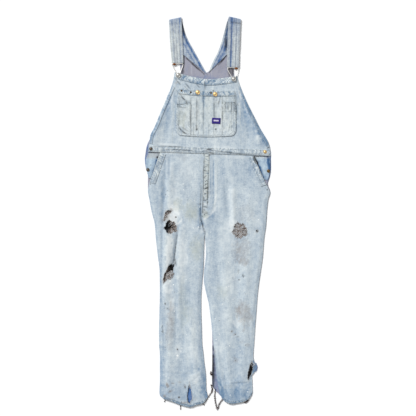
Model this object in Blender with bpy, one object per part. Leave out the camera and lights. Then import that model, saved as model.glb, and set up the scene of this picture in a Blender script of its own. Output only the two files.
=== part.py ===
"""Bib dungarees of worn denim, laid flat with the front up.

The part lies in the X-Y plane and rests on Z = 0. +Y runs from the leg hems to the
shoulder straps, and -X is the wearer's right side (names that end in _r). Lengths in the
tables are millimetres; a mesh is written in metres.

From the floor up: two back panels, two side facings, the folded straps, the front legs and
the bib, and on these the bands, pockets and hems, which reuse the points of the panel under
them, moved out. Buttons and wire buckles come last.
"""

import math

import bpy
import numpy as np
from mathutils.geometry import delaunay_2d_cdt

MM = 0.001

# Cloth
DENIM = 1.6
FOLDED_DENIM = 1.4
STRAP_CLOTH = 2.6
SEAM_GAP = 0.3
HALF_GAP = SEAM_GAP / 2

# How far the points of a panel stand apart
EDGE_STEP = 16.0
LEG_STEP = 21.0
BIB_STEP = 19.0
BACK_STEP = 70.0
FACING_STEP = 30.0

# The front rises from its side seams over this width, to this height at each place
SEAM_LEVEL = DENIM + SEAM_GAP
SIDE_ROLL = 15.0
LEAST_RISE = 0.6
LEGS_PART_BELOW, LEGS_PART_OVER = -60.0, 70.0
BIB_STARTS = 232.0

# Bands and hems
WAISTBAND_WIDTH = 25.0
BIB_TOP_WIDTH = 24.0
BIB_HEM_WIDTH = 13.0
POCKET_HEM_WIDTH = 20.0
MOUTH_HEM_WIDTH = 23.0
LEG_HEM_WIDTH = 11.0
FLY_WIDTH = 17.0
FLY_LENGTH = 174.0
TURN_IN = 0.6
HEM_SETBACK = 3.0
HEM_CORNER = 8.0
BAND_CLEARANCE = 10.0
BIB_HEM_TOPS = {"r": 478.0, "l": 445.0}
BIB_HEM_LEAN = 0.45
MOUTH_HEM_LEAN = 0.34


def columns(names, rows):
    """A short table as one array for each named column."""
    return dict(zip(names.split(), np.array(rows, float).T))


# The outer edge of the body from the back's armhole to the ankles
BODY_SIDES = columns("height right left", [
    (-705, -180, 166), (-684, -184, 169.5), (-640, -182, 168), (-616, -182, 167),
    (-604, -182, 178), (-585, -182, 184), (-566, -182, 175), (-545, -182, 172),
    (-502, -185.5, 175), (-440, -185.5, 179), (-380, -184, 183.5), (-300, -182, 190),
    (-228, -183, 200), (-167, -190, 208.5), (-106, -197, 213), (-46, -202, 221),
    (0, -213.5, 224), (46, -222, 229), (76, -227.5, 237), (106, -228, 228),
    (137, -228, 236), (167, -236, 239.4), (198, -239.4, 239), (228, -236, 238),
    (250, -232, 231), (272, -223, 221), (292, -212, 209), (330, -190, 184),
    (380, -162, 156), (430, -137, 129), (480, -114, 106), (528, -104, 99),
    (570, -106, 98), (605, -106, 98),
])
# The outer edge of the bib, from the waist seam to its top corners
BIB_SIDES = columns("height right left", [
    (200, -231, 239), (219, -229, 238), (240, -226, 236), (262, -222, 230),
    (289, -219, 215), (319, -204, 197), (350, -191, 181.5), (380, -179, 166),
    (410, -166, 151), (441, -153, 137), (471, -140, 125), (502, -131, 114.5),
    (512, -129, 112), (531, -126, 109),
])
INSEAMS = columns("height right_leg left_leg left_back", [
    (-705, 0, 52, 51), (-690, -3, 45, 41), (-678, -6, 42, 27), (-656, -7, 38, 15.5),
    (-623, -8, 33, 15), (-565, -15, 27, 16), (-534, -18, 24, 16), (-504, -22, 21, 16),
    (-443, -24, 15, 15), (-413, -25, 12, 12), (-382, -26, 8, 8), (-352, -26, 4, 4),
    (-322, -26, -3, -3), (-291, -24, -10, -10), (-261, -22, -15, -15),
    (-230, -19, -14.5, -14.5), (-200, -17, -11, -11), (-158, -16, -7, -7),
    (-124, -15, -8.5, -8.5), (-101, -14.5, -11.2, -11.2), (-88, -13.3, -12.7, -12.7),
])
CROTCH_HEIGHT = -88.0
WAIST_AT_CENTRE, WAIST_SLOPE = 219.0, -0.033
CENTRE_X = -11.5
BACK_TOP, BACK_CENTRE_TOP = 605.0, 526.0
BACK_HEM_RIGHT, BACK_HEM_LEFT = -696.0, -688.0
BIB_CORNER_RIGHT, BIB_CORNER_LEFT = 518.0, 505.0
CENTRE_SEAM = columns("height front back", [
    (-88, -13, -13), (-27, -24, -11.5), (20, -20, -11.5), (110, -15.5, -11.5),
    (219, -11.5, -11.5), (530, -11.5, -11.5),
])
HEM_RIGHT = columns("x y", [
    (-181, -699), (-167, -710), (-136, -721), (-109, -732), (-86, -739.5), (-64, -741.6),
    (-47, -735), (-19, -727), (-8, -717), (0, -704),
])
HEM_LEFT = columns("x y", [
    (52, -704), (59, -715.5), (73, -725), (90, -729), (114, -726.5), (139.5, -720),
    (156, -709.6), (164, -697), (167, -686),
])
BIB_TOP = columns("x y", [
    (-126, 530), (-92, 521), (-60, 513), (-18, 505), (10, 503), (40, 505.5), (75, 510),
    (110.5, 516),
])
BACK_TOP_RIGHT = columns("x y", [
    (-106, 605), (-103, 610), (-80, 596), (-48, 569), (-16, 538), (-11.5, 526),
])
BACK_TOP_LEFT = columns("x y", [
    (-11.5, 526), (5, 535), (11, 546), (43, 576), (74, 605), (98, 605),
])

# The slanted mouths of the side pockets, from the waist seam to the side seam
MOUTH_RIGHT = columns("x y", [
    (-181, 225), (-189, 203), (-199, 175), (-208, 148), (-216, 126), (-223, 108), (-226.2, 90),
])
MOUTH_LEFT = columns("x y", [
    (173, 213), (182, 193), (193, 167), (205, 140), (215, 118), (226, 98), (234.5, 80),
])
FACING_RIGHT = columns("x y", [
    (-150, 222.5), (-226, 223.5), (-233, 207), (-237, 190), (-235, 166), (-227.5, 138),
    (-224, 127), (-205, 127), (-165, 150),
])
FACING_LEFT = columns("x y", [
    (150, 212), (234, 209.5), (237, 190), (236.5, 166), (233, 138), (228.5, 121),
    (205, 121), (165, 150),
])

# The bib pocket
POCKET_LEFT_X, POCKET_RIGHT_X = -121.5, 106.5
POCKET_TOP_LEFT, POCKET_TOP_RIGHT = 467.0, 459.0
POCKET_LOW_LEFT, POCKET_LOW_RIGHT = 293.0, 290.0
POCKET_TOP_SAG, POCKET_SAG = 5.0, 8.0
POCKET_CORNER = 24.0
POCKET_TAPER_FROM, POCKET_TAPER_LEFT, POCKET_TAPER_RIGHT = 340.0, 12.0, 6.0
CORNER_STEPS = 4
POCKET_POINTS = 15
WAIST_POINTS = 24
SECOND_LAYER = ("pocket_hem", "pencil_pocket", "watch_pocket", "label")
PENCIL_X, PENCIL_TOP = 57.0, 412.0
WATCH_X, WATCH_TOP_OUTER, WATCH_TOP_INNER = -65.0, 396.0, 408.0
LABEL_CENTRE, LABEL_SIZE, LABEL_TILT = (31.5, 345.0), (32.5, 22.0), -0.05

# Height of the front over its seams, from the hems to the top of the bib
PUFF = columns("height rise", [
    (-742, 2.6), (-600, 3.2), (-300, 3.6), (-60, 3.6), (120, 3.6), (219, 3.0), (330, 3.0),
    (450, 2.4), (530, 1.6),
])
# The largest folds: soft ridges (positive) and troughs along a line
FOLDS = columns("x1 y1 x2 y2 width rise", [
    (-158, -80, -160, -330, 15, 6.0),
    (-128, -70, -137, -205, 8, -2.6),
    (-104, -60, -112, -330, 16, 3.6),
    (-166, 120, -172, -20, 9, -2.4),
    (-144, 170, -150, 20, 14, 3.4),
    (-40, 60, -36, -40, 10, -2.2),
    (-70, -380, -40, -690, 18, 3.2),
    (-140, -400, -150, -690, 16, 3.0),
    (-105, -480, -95, -700, 9, -1.8),
    (92, 80, 99, -45, 10, 3.6),
    (76, 110, 82, -20, 9, -2.2),
    (150, 60, 160, -60, 14, 2.6),
    (60, -160, 78, -420, 16, 3.4),
    (150, -150, 140, -420, 15, 3.8),
    (110, -200, 108, -560, 11, -2.0),
    (70, -500, 85, -715, 14, 3.2),
    (140, -470, 130, -690, 14, 2.6),
    (-175, 400, -200, 270, 13, 2.8),
    (-148, 410, -160, 270, 9, -1.8),
    (160, 400, 195, 270, 13, 3.2),
    (138, 400, 150, 270, 9, -1.8),
    (-188, 214, -203, 165, 9, 2.6),
    (180, 204, 198, 155, 9, 3.0),
    (120, -640, 60, -660, 8, 1.6),
])

# Rips cut through the front legs: centre, half sizes, lean in degrees, raggedness
RIPS = {
    "right": columns("x y across along lean ragged", [
        (-142, -58, 22, 23, 10, 0.16),
        (-151, -2, 6, 14, -62, 0.14),
        (-149, -229, 11, 37, -28, 0.15),
        (-69.5, -689, 7.5, 35, 0, 0.08),
    ]),
    "left": columns("x y across along lean ragged", [
        (121, -71, 26, 28, 15, 0.12),
        (187, -73, 4, 5, 0, 0.05),
        (161, -602, 7, 33, -13, 0.10),
    ]),
}
RIP_POINTS = 18
RAGGED_LOBES = (3, 5, 8)

# Each strap, from its slanted end on the back panel to the fold at the shoulder
STRAP_BACK_RIGHT = columns("outer_x outer_y neck_x neck_y base", [
    (-100.5, 603, -3.0, 522.5, 1.9), (-106, 611, -38, 584, 1.9), (-113, 624, -55, 615, 1.9),
    (-122, 640, -75, 651, 1.2), (-134, 676, -88.5, 684, 0.2), (-142, 712, -97, 718, 0.0),
])
STRAP_FRONT_RIGHT = columns("outer_x outer_y neck_x neck_y base", [
    (-147, 716, -100, 724, 4.6), (-145, 670, -97, 674, 4.9), (-142, 625, -95, 628, 5.0),
    (-138.5, 588, -93.5, 590, 5.0), (-137, 564.5, -92.5, 564.5, 4.8),
])
FOLD_RIGHT = columns("x y", [(-147.5, 725.5), (-100.5, 735.5)])
STRAP_BACK_LEFT = columns("outer_x outer_y neck_x neck_y base", [
    (75, 600, 2.5, 529.5, 1.9), (82, 611, 20.5, 573, 1.9), (87, 622, 37.5, 605, 1.9),
    (96, 645, 51.5, 645, 1.2), (108, 680, 62.5, 683, 0.2), (119, 714, 72.5, 720, 0.0),
])
STRAP_FRONT_LEFT = columns("outer_x outer_y neck_x neck_y base", [
    (124.5, 719, 77, 727, 4.6), (122, 675, 76, 678, 4.9), (120.5, 630, 74.5, 632, 5.0),
    (118.5, 590, 73, 590, 5.0), (118, 548.5, 72, 548.5, 4.8),
])
FOLD_LEFT = columns("x y", [(125, 728), (79, 738.3)])
FOLD_STEPS = 6

# Hardware
WIRE = 2.8
BUCKLE_HALF_WIDTH = 20.5
BUCKLE_CORNER = 3.5
BUCKLE_LOOP = 8.2
LOOP_POINTS = 11
BUTTON_SEGMENTS = 14
SHANK_RADIUS = 2.6
LEAST_SHANK = 0.8
BIB_BUTTONS = {"r": (-112.5, 518.0), "l": (98.0, 503.5)}
BIB_BUTTON_RADIUS = 9.3
POCKET_BUTTONS = {"r": (-38.5, 453.0), "l": (27.5, 446.0)}
POCKET_BUTTON_RADIUS = 8.2
WAIST_BUTTONS = {"r": (-216.0, 239.0), "l": (216.5, 228.0)}
HIP_BUTTONS = {"r": (-228.0, 160.0), "l": (230.0, 155.0)}
SIDE_BUTTON_RADIUS = 6.3
RIVETS = {"outer": (-100.0, 459.5), "inner": (-65.0, 453.0), "centre": (12.0, 451.5)}
RIVET_RADIUS = 3.9

COLOURS = {
    "faded_denim": ((0.52, 0.62, 0.70), 0.92, 0.0),
    "inner_denim": ((0.34, 0.36, 0.45), 0.95, 0.0),
    "blue_denim": ((0.28, 0.42, 0.62), 0.92, 0.0),
    "strap_denim": ((0.55, 0.65, 0.72), 0.92, 0.0),
    "worn_brass": ((0.62, 0.42, 0.16), 0.38, 1.0),
    "nickel_wire": ((0.62, 0.60, 0.57), 0.40, 1.0),
    "dark_rivet": ((0.20, 0.17, 0.15), 0.50, 1.0),
    "label_weave": ((0.10, 0.08, 0.30), 0.85, 0.0),
}


def monotone(table, column, at):
    """A smooth curve through one column over the table's height, which never overshoots."""
    x, y = table["height"], table[column]
    step, slope = np.diff(x), np.diff(y) / np.diff(x)
    w1, w2 = 2 * step[1:] + step[:-1], step[1:] + 2 * step[:-1]
    turning = slope[:-1] * slope[1:] <= 0
    safe = np.where(turning, 1.0, slope[:-1]), np.where(turning, 1.0, slope[1:])
    inner = np.where(turning, 0.0, (w1 + w2) / (w1 / safe[0] + w2 / safe[1]))
    tangent = np.concatenate([[slope[0]], inner, [slope[-1]]])
    at = np.clip(np.asarray(at, float), x[0], x[-1])
    i = np.clip(np.searchsorted(x, at, side="right") - 1, 0, len(x) - 2)
    t, h = (at - x[i]) / step[i], step[i]
    return (
        y[i] * (1 + 2 * t) * (1 - t) ** 2
        + tangent[i] * h * t * (1 - t) ** 2
        + y[i + 1] * t * t * (3 - 2 * t)
        + tangent[i + 1] * h * t * t * (t - 1)
    )


def smooth(t):
    """0 to 1 with level ends."""
    t = np.clip(t, 0.0, 1.0)
    return t * t * (3 - 2 * t)


def rounded_line(table, steps=3):
    """Points of a Catmull-Rom curve through a table's x and y."""
    p = straight_line(table)
    p = np.vstack([2 * p[0] - p[1], p, 2 * p[-1] - p[-2]])
    found = []
    for a, b, c, d in zip(p, p[1:], p[2:], p[3:]):
        for t in np.arange(steps) / steps:
            found.append(0.5 * (
                2 * b + (c - a) * t + (2 * a - 5 * b + 4 * c - d) * t * t
                + (3 * b - a - 3 * c + d) * t ** 3
            ))
    return np.vstack([found, p[-2]])


def straight_line(table):
    """A table's x and y as points."""
    return np.column_stack([table["x"], table["y"]])


def waist_height(x):
    """The waist seam, which drops a little towards the wearer's left."""
    return WAIST_AT_CENTRE + WAIST_SLOPE * np.asarray(x, float)


def edge_line(table, column, low, high, shift=0.0):
    """Points up an edge from one height to another."""
    heights = np.linspace(low, high, max(2, round(abs(high - low) / EDGE_STEP) + 1))
    return np.column_stack([monotone(table, column, heights) + shift, heights])


def fold_rise(x, y):
    """The sum of all the soft ridges and troughs at a point."""
    total = np.zeros_like(x)
    for x1, y1, x2, y2, width, rise in zip(*FOLDS.values()):
        along = np.array([x2 - x1, y2 - y1])
        length = np.hypot(*along)
        ux, uy = along / length
        s = ((x - x1) * ux + (y - y1) * uy) / length
        side = (y - y1) * ux - (x - x1) * uy
        fade = smooth((s + 0.25) / 0.35) * smooth((1.25 - s) / 0.35)
        total += rise * fade * np.exp(-((side / width) ** 2))
    return total


def front_base(x, y):
    """Height of the underside of the front panels: low at the seams, raised between them."""
    above = y > BIB_STARTS
    right = np.where(above, monotone(BIB_SIDES, "right", y), monotone(BODY_SIDES, "right", y))
    left = np.where(above, monotone(BIB_SIDES, "left", y), monotone(BODY_SIDES, "left", y))
    parted = smooth((LEGS_PART_BELOW - y) / LEGS_PART_OVER)
    inner_right = monotone(INSEAMS, "right_leg", y)
    inner_left = monotone(INSEAMS, "left_leg", y)
    middle = np.where(x < (inner_right + inner_left) / 2, inner_right - x, x - inner_left)
    outside = np.minimum(x - right, left - x)
    lift = smooth(outside / SIDE_ROLL) * (1 - parted * (1 - smooth(middle / SIDE_ROLL)))
    return SEAM_LEVEL + lift * np.maximum(monotone(PUFF, "rise", y) + fold_rise(x, y), LEAST_RISE)


def segments(loops):
    """The two ends of every segment of some closed loops."""
    starts = np.vstack(loops)
    ends = np.vstack([np.roll(loop, -1, axis=0) for loop in loops])
    return starts, ends


def distance_to(points, loops):
    """Distance from each point to the nearest segment of the loops."""
    a, b = segments(loops)
    ab = b - a
    ap = points[:, None] - a[None]
    t = np.clip((ap * ab).sum(2) / np.maximum((ab * ab).sum(1), 1e-9), 0, 1)
    return np.linalg.norm(ap - t[..., None] * ab, axis=2).min(1)


def inside(points, loop):
    """Whether each point lies inside a closed loop, by counting crossings."""
    x, y = points[:, 0, None], points[:, 1, None]
    a, b = loop, np.roll(loop, -1, axis=0)
    crosses = (a[:, 1] > y) != (b[:, 1] > y)
    rise = np.where(b[:, 1] == a[:, 1], 1.0, b[:, 1] - a[:, 1])
    return ((crosses & (x < a[:, 0] + (y - a[:, 1]) * (b[:, 0] - a[:, 0]) / rise)).sum(1) % 2) == 1


class Cloth:
    """A flat cut of cloth in triangles, with the outlines of what is sewn on it as edges."""

    def __init__(self, outline, holes=(), pieces=(), step=LEG_STEP):
        loops = [outline, *holes, *pieces]
        low, high = outline.min(0), outline.max(0)
        rows = np.arange(low[1], high[1], step * math.sqrt(3) / 2)
        grid = [
            (x + (i % 2) * step / 2, y)
            for i, y in enumerate(rows)
            for x in np.arange(low[0], high[0], step)
        ]
        grid = np.array(grid)
        grid = grid[inside(grid, outline)]
        grid = grid[distance_to(grid, loops) > 0.5 * min(step, EDGE_STEP)]
        starts = np.cumsum([0] + [len(loop) for loop in loops])
        edges = [
            (start + i, start + (i + 1) % len(loop))
            for start, loop in zip(starts, loops)
            for i in range(len(loop))
        ]
        points = [tuple(map(float, p)) for p in np.vstack([*loops, grid])]
        found = delaunay_2d_cdt(points, edges, [], 0, 1e-4)
        self.points = np.array([tuple(p) for p in found[0]])
        triangles = np.array([f for f in found[2] if len(f) == 3])
        middles = self.points[triangles].mean(1)
        kept = inside(middles, outline)
        for hole in holes:
            kept &= ~inside(middles, hole)
        corners = self.points[triangles]
        sides = corners[:, 1:] - corners[:, :1]
        area = sides[:, 0, 0] * sides[:, 1, 1] - sides[:, 0, 1] * sides[:, 1, 0]
        triangles = np.where(area[:, None] < 0, triangles[:, ::-1], triangles)
        self.triangles = triangles[kept & (np.abs(area) > 1e-3)]

    def level(self, heights, places):
        """The cloth's height at some places, from the triangle that holds each."""
        a, b, c = (self.points[self.triangles[:, k]] for k in range(3))
        ab, ac = b - a, c - a
        twice = ab[:, 0] * ac[:, 1] - ab[:, 1] * ac[:, 0]
        offset = places[:, None] - a
        v = (offset[..., 0] * ac[:, 1] - offset[..., 1] * ac[:, 0]) / twice
        w = (offset[..., 1] * ab[:, 0] - offset[..., 0] * ab[:, 1]) / twice
        holder = np.minimum(np.minimum(v, w), 1 - v - w).argmax(1)
        row = np.arange(len(places))
        ha, hb, hc = (heights[self.triangles[holder, k]] for k in range(3))
        return ha + v[row, holder] * (hb - ha) + w[row, holder] * (hc - ha)

    def part_of(self, loop):
        """The triangles that lie inside a loop that the cloth was given."""
        return self.triangles[inside(self.points[self.triangles].mean(1), loop)]


def wall(name, cloth, triangles, bottom, thickness, colour):
    """A closed wall of some of a cloth's triangles, at two heights joined by a rim."""
    used, index = np.unique(triangles, return_inverse=True)
    faces = index.reshape(-1, 3)
    count = len(used)
    low = np.column_stack([cloth.points[used], bottom[used]])
    high = low + (0, 0, thickness)
    ends = np.concatenate([faces[:, [0, 1]], faces[:, [1, 2]], faces[:, [2, 0]]])
    twins = {tuple(e) for e in ends.tolist()}
    rim = [(a, b) for a, b in ends.tolist() if (b, a) not in twins]
    walls = [(a, b, b + count, a + count) for a, b in rim]
    polygons = [*map(tuple, (faces + count).tolist()), *map(tuple, faces[:, ::-1].tolist())]
    return solid(name, np.vstack([low, high]), polygons + walls, colour)


def solid(name, points, polygons, colour):
    """A mesh object from points in millimetres."""
    mesh = bpy.data.meshes.new(name)
    mesh.from_pydata((points * MM).tolist(), [], polygons)
    mesh.update()
    mesh.materials.append(material(colour))
    made = bpy.data.objects.new(name, mesh)
    bpy.context.scene.collection.objects.link(made)
    return made


def material(name):
    """One Principled finish for each kind of cloth or metal."""
    if name in bpy.data.materials:
        return bpy.data.materials[name]
    colour, roughness, metallic = COLOURS[name]
    made = bpy.data.materials.new(name)
    made.use_nodes = True
    shader = made.node_tree.nodes["Principled BSDF"]
    shader.inputs["Base Color"].default_value = (*colour, 1.0)
    shader.inputs["Roughness"].default_value = roughness
    shader.inputs["Metallic"].default_value = metallic
    return made


def clear_scene():
    for old in list(bpy.data.objects):
        bpy.data.objects.remove(old, do_unlink=True)


def rip_loops(side):
    """The ragged outlines of the rips in one front leg."""
    loops = []
    turns = np.arange(RIP_POINTS) / RIP_POINTS * math.tau
    for number, row in enumerate(zip(*RIPS[side].values())):
        x, y, across, along, lean, ragged = row
        wave = sum(np.sin(k * turns + number * 1.7 + k) for k in RAGGED_LOBES)
        radius = 1 + ragged * wave / 2
        flat = np.column_stack([across * np.cos(turns), along * np.sin(turns)]) * radius[:, None]
        c, s = math.cos(math.radians(lean)), math.sin(math.radians(lean))
        loops.append(flat @ np.array([[c, s], [-s, c]]) + (x, y))
    return loops


def strip_beside(line, width, direction):
    """The loop between a line and the same line moved by a width in one direction."""
    moved = line + np.asarray(direction, float) / np.hypot(*direction) * width
    return np.vstack([line, moved[::-1]])


def back_panels():
    """Two long panels, each from the back bib down to one hem, with a seam between them."""
    seam = edge_line(CENTRE_SEAM, "back", CROTCH_HEIGHT, BACK_CENTRE_TOP)
    under_crotch = CROTCH_HEIGHT - HEM_CORNER
    outlines = {
        "r": np.vstack([
            edge_line(BODY_SIDES, "right", BACK_HEM_RIGHT, BACK_TOP),
            straight_line(BACK_TOP_RIGHT)[1:-1],
            (seam - (HALF_GAP, 0))[::-1],
            edge_line(INSEAMS, "right_leg", BACK_HEM_RIGHT - HEM_CORNER, under_crotch, -TURN_IN)[::-1],
            (rounded_line(HEM_RIGHT, 2) + (0, HEM_SETBACK))[::-1][1:-1],
        ]),
        "l": np.vstack([
            edge_line(BODY_SIDES, "left", BACK_HEM_LEFT, BACK_TOP)[::-1],
            (rounded_line(HEM_LEFT, 2) + (0, HEM_SETBACK))[::-1][1:-3],
            edge_line(INSEAMS, "left_back", BACK_HEM_LEFT - HEM_CORNER, under_crotch, TURN_IN),
            seam + (HALF_GAP, 0),
            straight_line(BACK_TOP_LEFT)[1:-1],
        ]),
    }
    for side, outline in outlines.items():
        cloth = Cloth(outline, step=BACK_STEP)
        floor = np.zeros(len(cloth.points))
        wall(f"back_panel_{side}", cloth, cloth.triangles, floor, DENIM, "inner_denim")


def side_facings():
    """The cloth behind each slanted pocket mouth, flat on the back panel."""
    for side, table in (("r", FACING_RIGHT), ("l", FACING_LEFT)):
        cloth = Cloth(straight_line(table), step=FACING_STEP)
        level = np.full(len(cloth.points), SEAM_LEVEL)
        wall(f"side_facing_{side}", cloth, cloth.triangles, level, FOLDED_DENIM, "blue_denim")


def front_leg(side):
    """A front leg from the waist seam to the hem, and the hems and fly sewn on it."""
    letter = side[0]
    sign = {"r": -1, "l": 1}[letter]
    mouth = rounded_line({"r": MOUTH_RIGHT, "l": MOUTH_LEFT}[letter], 2)
    mouth[0, 1] = waist_height(mouth[0, 0]) - HALF_GAP
    hem = rounded_line({"r": HEM_RIGHT, "l": HEM_LEFT}[letter], 2)[::-sign]
    outer = edge_line(BODY_SIDES, side, hem[0, 1] + HEM_CORNER, mouth[-1, 1] - HEM_CORNER)
    inseam = edge_line(INSEAMS, f"{side}_leg", hem[-1, 1] + HEM_CORNER, CROTCH_HEIGHT - HEM_CORNER)
    seam_top = waist_height(CENTRE_X) - HALF_GAP
    seam = edge_line(CENTRE_SEAM, "front", CROTCH_HEIGHT, seam_top, sign * HALF_GAP)
    top_x = np.linspace(mouth[0, 0], seam[-1, 0], WAIST_POINTS // 2)[1:-1]
    top = np.column_stack([top_x, waist_height(top_x) - HALF_GAP])
    outline = np.vstack([outer, mouth[::-1], top, seam[::-1], inseam[::-1], hem[::-1]])
    mouth_hem = strip_beside(mouth[:-2], MOUTH_HEM_WIDTH, (-sign, -MOUTH_HEM_LEAN))
    sewn_on = {
        f"leg_hem_{letter}": strip_beside(hem[2:-2], LEG_HEM_WIDTH, (0, 1)),
        f"pocket_mouth_hem_{letter}": mouth_hem[mouth_hem[:, 1] < waist_height(mouth_hem[:, 0])],
    }
    if letter == "l":
        edge = seam[seam[:, 1] > seam_top - FLY_LENGTH]
        fly = strip_beside(edge, FLY_WIDTH, (1, 0))
        fly[len(edge), 1] = waist_height(fly[len(edge), 0]) - HALF_GAP
        sewn_on["fly_band"] = fly
    cloth = Cloth(outline, rip_loops(side), list(sewn_on.values()))
    base = front_base(*cloth.points.T)
    wall(f"front_leg_{letter}", cloth, cloth.triangles, base, DENIM, "faded_denim")
    for name, loop in sewn_on.items():
        above = base + DENIM + SEAM_GAP
        wall(name, cloth, cloth.part_of(loop), above, FOLDED_DENIM, "faded_denim")


def corner(x, y, start):
    """A quarter turn of the pocket's rounded corner, counter-clockwise from an angle."""
    turns = np.radians(start) + np.linspace(0, math.pi / 2, CORNER_STEPS + 1)
    return np.column_stack([np.cos(turns), np.sin(turns)]) * POCKET_CORNER + (x, y)


def upright(x, low, high):
    """Points up one straight side of a pocket."""
    ys = np.linspace(low, high, max(2, round((high - low) / EDGE_STEP)))
    return np.column_stack([np.full(len(ys), x), ys])


def tapered(loop):
    """A pocket outline drawn in towards the pocket's top from both sides."""
    rise = (loop[:, 1] - POCKET_TAPER_FROM) / (POCKET_TOP_LEFT - POCKET_TAPER_FROM)
    share = (loop[:, 0] - POCKET_LEFT_X) / (POCKET_RIGHT_X - POCKET_LEFT_X)
    drawn = POCKET_TAPER_LEFT * (1 - share) - POCKET_TAPER_RIGHT * share
    return np.column_stack([loop[:, 0] + drawn * np.clip(rise, 0, 1) ** 2, loop[:, 1]])


def pocket_loops():
    """Outlines of the bib pocket, its hem, the pencil pocket and the watch pocket."""
    share = np.linspace(0, 1, POCKET_POINTS)
    sag = np.sin(share * math.pi)
    xs = POCKET_LEFT_X + share * (POCKET_RIGHT_X - POCKET_LEFT_X)
    top_y = POCKET_TOP_LEFT + share * (POCKET_TOP_RIGHT - POCKET_TOP_LEFT) - POCKET_TOP_SAG * sag
    low_y = POCKET_LOW_LEFT + share * (POCKET_LOW_RIGHT - POCKET_LOW_LEFT) - POCKET_SAG * sag
    top = np.column_stack([xs, top_y])
    low = np.column_stack([xs, low_y])
    low = low[(xs > POCKET_LEFT_X + POCKET_CORNER) & (xs < POCKET_RIGHT_X - POCKET_CORNER)]
    low_corner_left = corner(POCKET_LEFT_X + POCKET_CORNER, low[0, 1] + POCKET_CORNER, 180)
    low_corner_right = corner(POCKET_RIGHT_X - POCKET_CORNER, low[-1, 1] + POCKET_CORNER, 270)
    side_low = low_corner_left[0, 1] + EDGE_STEP
    left_side = np.vstack([
        upright(POCKET_LEFT_X, side_low, WATCH_TOP_OUTER)[:-1],
        upright(POCKET_LEFT_X, WATCH_TOP_OUTER, top[0, 1] - POCKET_HEM_WIDTH),
    ])
    right_side = np.vstack([
        upright(POCKET_RIGHT_X, side_low, PENCIL_TOP)[:-1],
        upright(POCKET_RIGHT_X, PENCIL_TOP, top[-1, 1] - POCKET_HEM_WIDTH),
    ])
    pencil_foot = (PENCIL_X, np.interp(PENCIL_X, *low.T))
    watch_foot = (WATCH_X, np.interp(WATCH_X, *low.T))
    loops = {
        "bib_pocket": np.vstack([
            top[::-1], left_side[::-1], low_corner_left, low, low_corner_right, right_side,
        ]),
        "pocket_hem": strip_beside(top, POCKET_HEM_WIDTH, (0, -1)),
        "pencil_pocket": np.vstack([
            (POCKET_RIGHT_X, PENCIL_TOP),
            upright(PENCIL_X, pencil_foot[1] + EDGE_STEP, PENCIL_TOP)[::-1],
            pencil_foot, low[low[:, 0] > PENCIL_X + 1], low_corner_right,
            right_side[right_side[:, 1] < PENCIL_TOP],
        ]),
        "watch_pocket": np.vstack([
            (POCKET_LEFT_X, WATCH_TOP_OUTER), left_side[left_side[:, 1] < WATCH_TOP_OUTER][::-1],
            low_corner_left, low[low[:, 0] < WATCH_X - 1], watch_foot,
            upright(WATCH_X, watch_foot[1] + EDGE_STEP, WATCH_TOP_INNER),
        ]),
    }
    return {name: tapered(loop) for name, loop in loops.items()}


def label_loop():
    """The small woven label on the pocket, tilted a little."""
    w, h = LABEL_SIZE
    c, s = math.cos(LABEL_TILT), math.sin(LABEL_TILT)
    flat = np.array([(-w, -h), (0, -h), (w, -h), (w, h), (0, h), (-w, h)]) / 2
    return flat @ np.array([[c, s], [-s, c]]) + LABEL_CENTRE


def bib():
    """The bib with its wings, and the bands, hems and pockets on it."""
    top = rounded_line(BIB_TOP, 2)
    waist_x = [monotone(BIB_SIDES, side, WAIST_AT_CENTRE) for side in ("right", "left")]
    low_right, low_left = waist_height(waist_x) + HALF_GAP
    right = edge_line(BIB_SIDES, "right", low_right, BIB_CORNER_RIGHT)
    left = edge_line(BIB_SIDES, "left", low_left, BIB_CORNER_LEFT)
    low_x = np.linspace(right[0, 0], left[0, 0], WAIST_POINTS)
    low = np.column_stack([low_x, waist_height(low_x) + HALF_GAP])
    outline = np.vstack([top, left[::-1], low[::-1][1:-1], right])
    band = low.copy()
    over = low + (0, WAISTBAND_WIDTH)
    over[0, 0] = monotone(BIB_SIDES, "right", over[0, 1])
    over[-1, 0] = monotone(BIB_SIDES, "left", over[-1, 1])
    for line in (band, over):
        line[[0, -1], 0] += (TURN_IN, -TURN_IN)
    loops = {
        "waistband": np.vstack([band, over[::-1]]),
        "bib_top_band": strip_beside(top, BIB_TOP_WIDTH, (0, -1)),
    }
    for letter, edge, sign, foot in (("r", right, 1, over[0, 1]), ("l", left, -1, over[-1, 1])):
        height = edge[:, 1]
        kept = edge[(height > foot + BAND_CLEARANCE) & (height < BIB_HEM_TOPS[letter])]
        loops[f"bib_hem_{letter}"] = strip_beside(kept, BIB_HEM_WIDTH, (sign, -BIB_HEM_LEAN))
    loops.update(pocket_loops())
    loops["label"] = label_loop()
    cloth = Cloth(outline, pieces=list(loops.values()), step=BIB_STEP)
    base = front_base(*cloth.points.T)
    wall("bib", cloth, cloth.triangles, base, DENIM, "faded_denim")
    for name, loop in loops.items():
        layers = 1 + (name in SECOND_LAYER)
        above = base + DENIM + SEAM_GAP + (layers - 1) * (FOLDED_DENIM + SEAM_GAP)
        colour = "label_weave" if name == "label" else "faded_denim"
        wall(name, cloth, cloth.part_of(loop), above, FOLDED_DENIM, colour)
    return cloth, base


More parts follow.
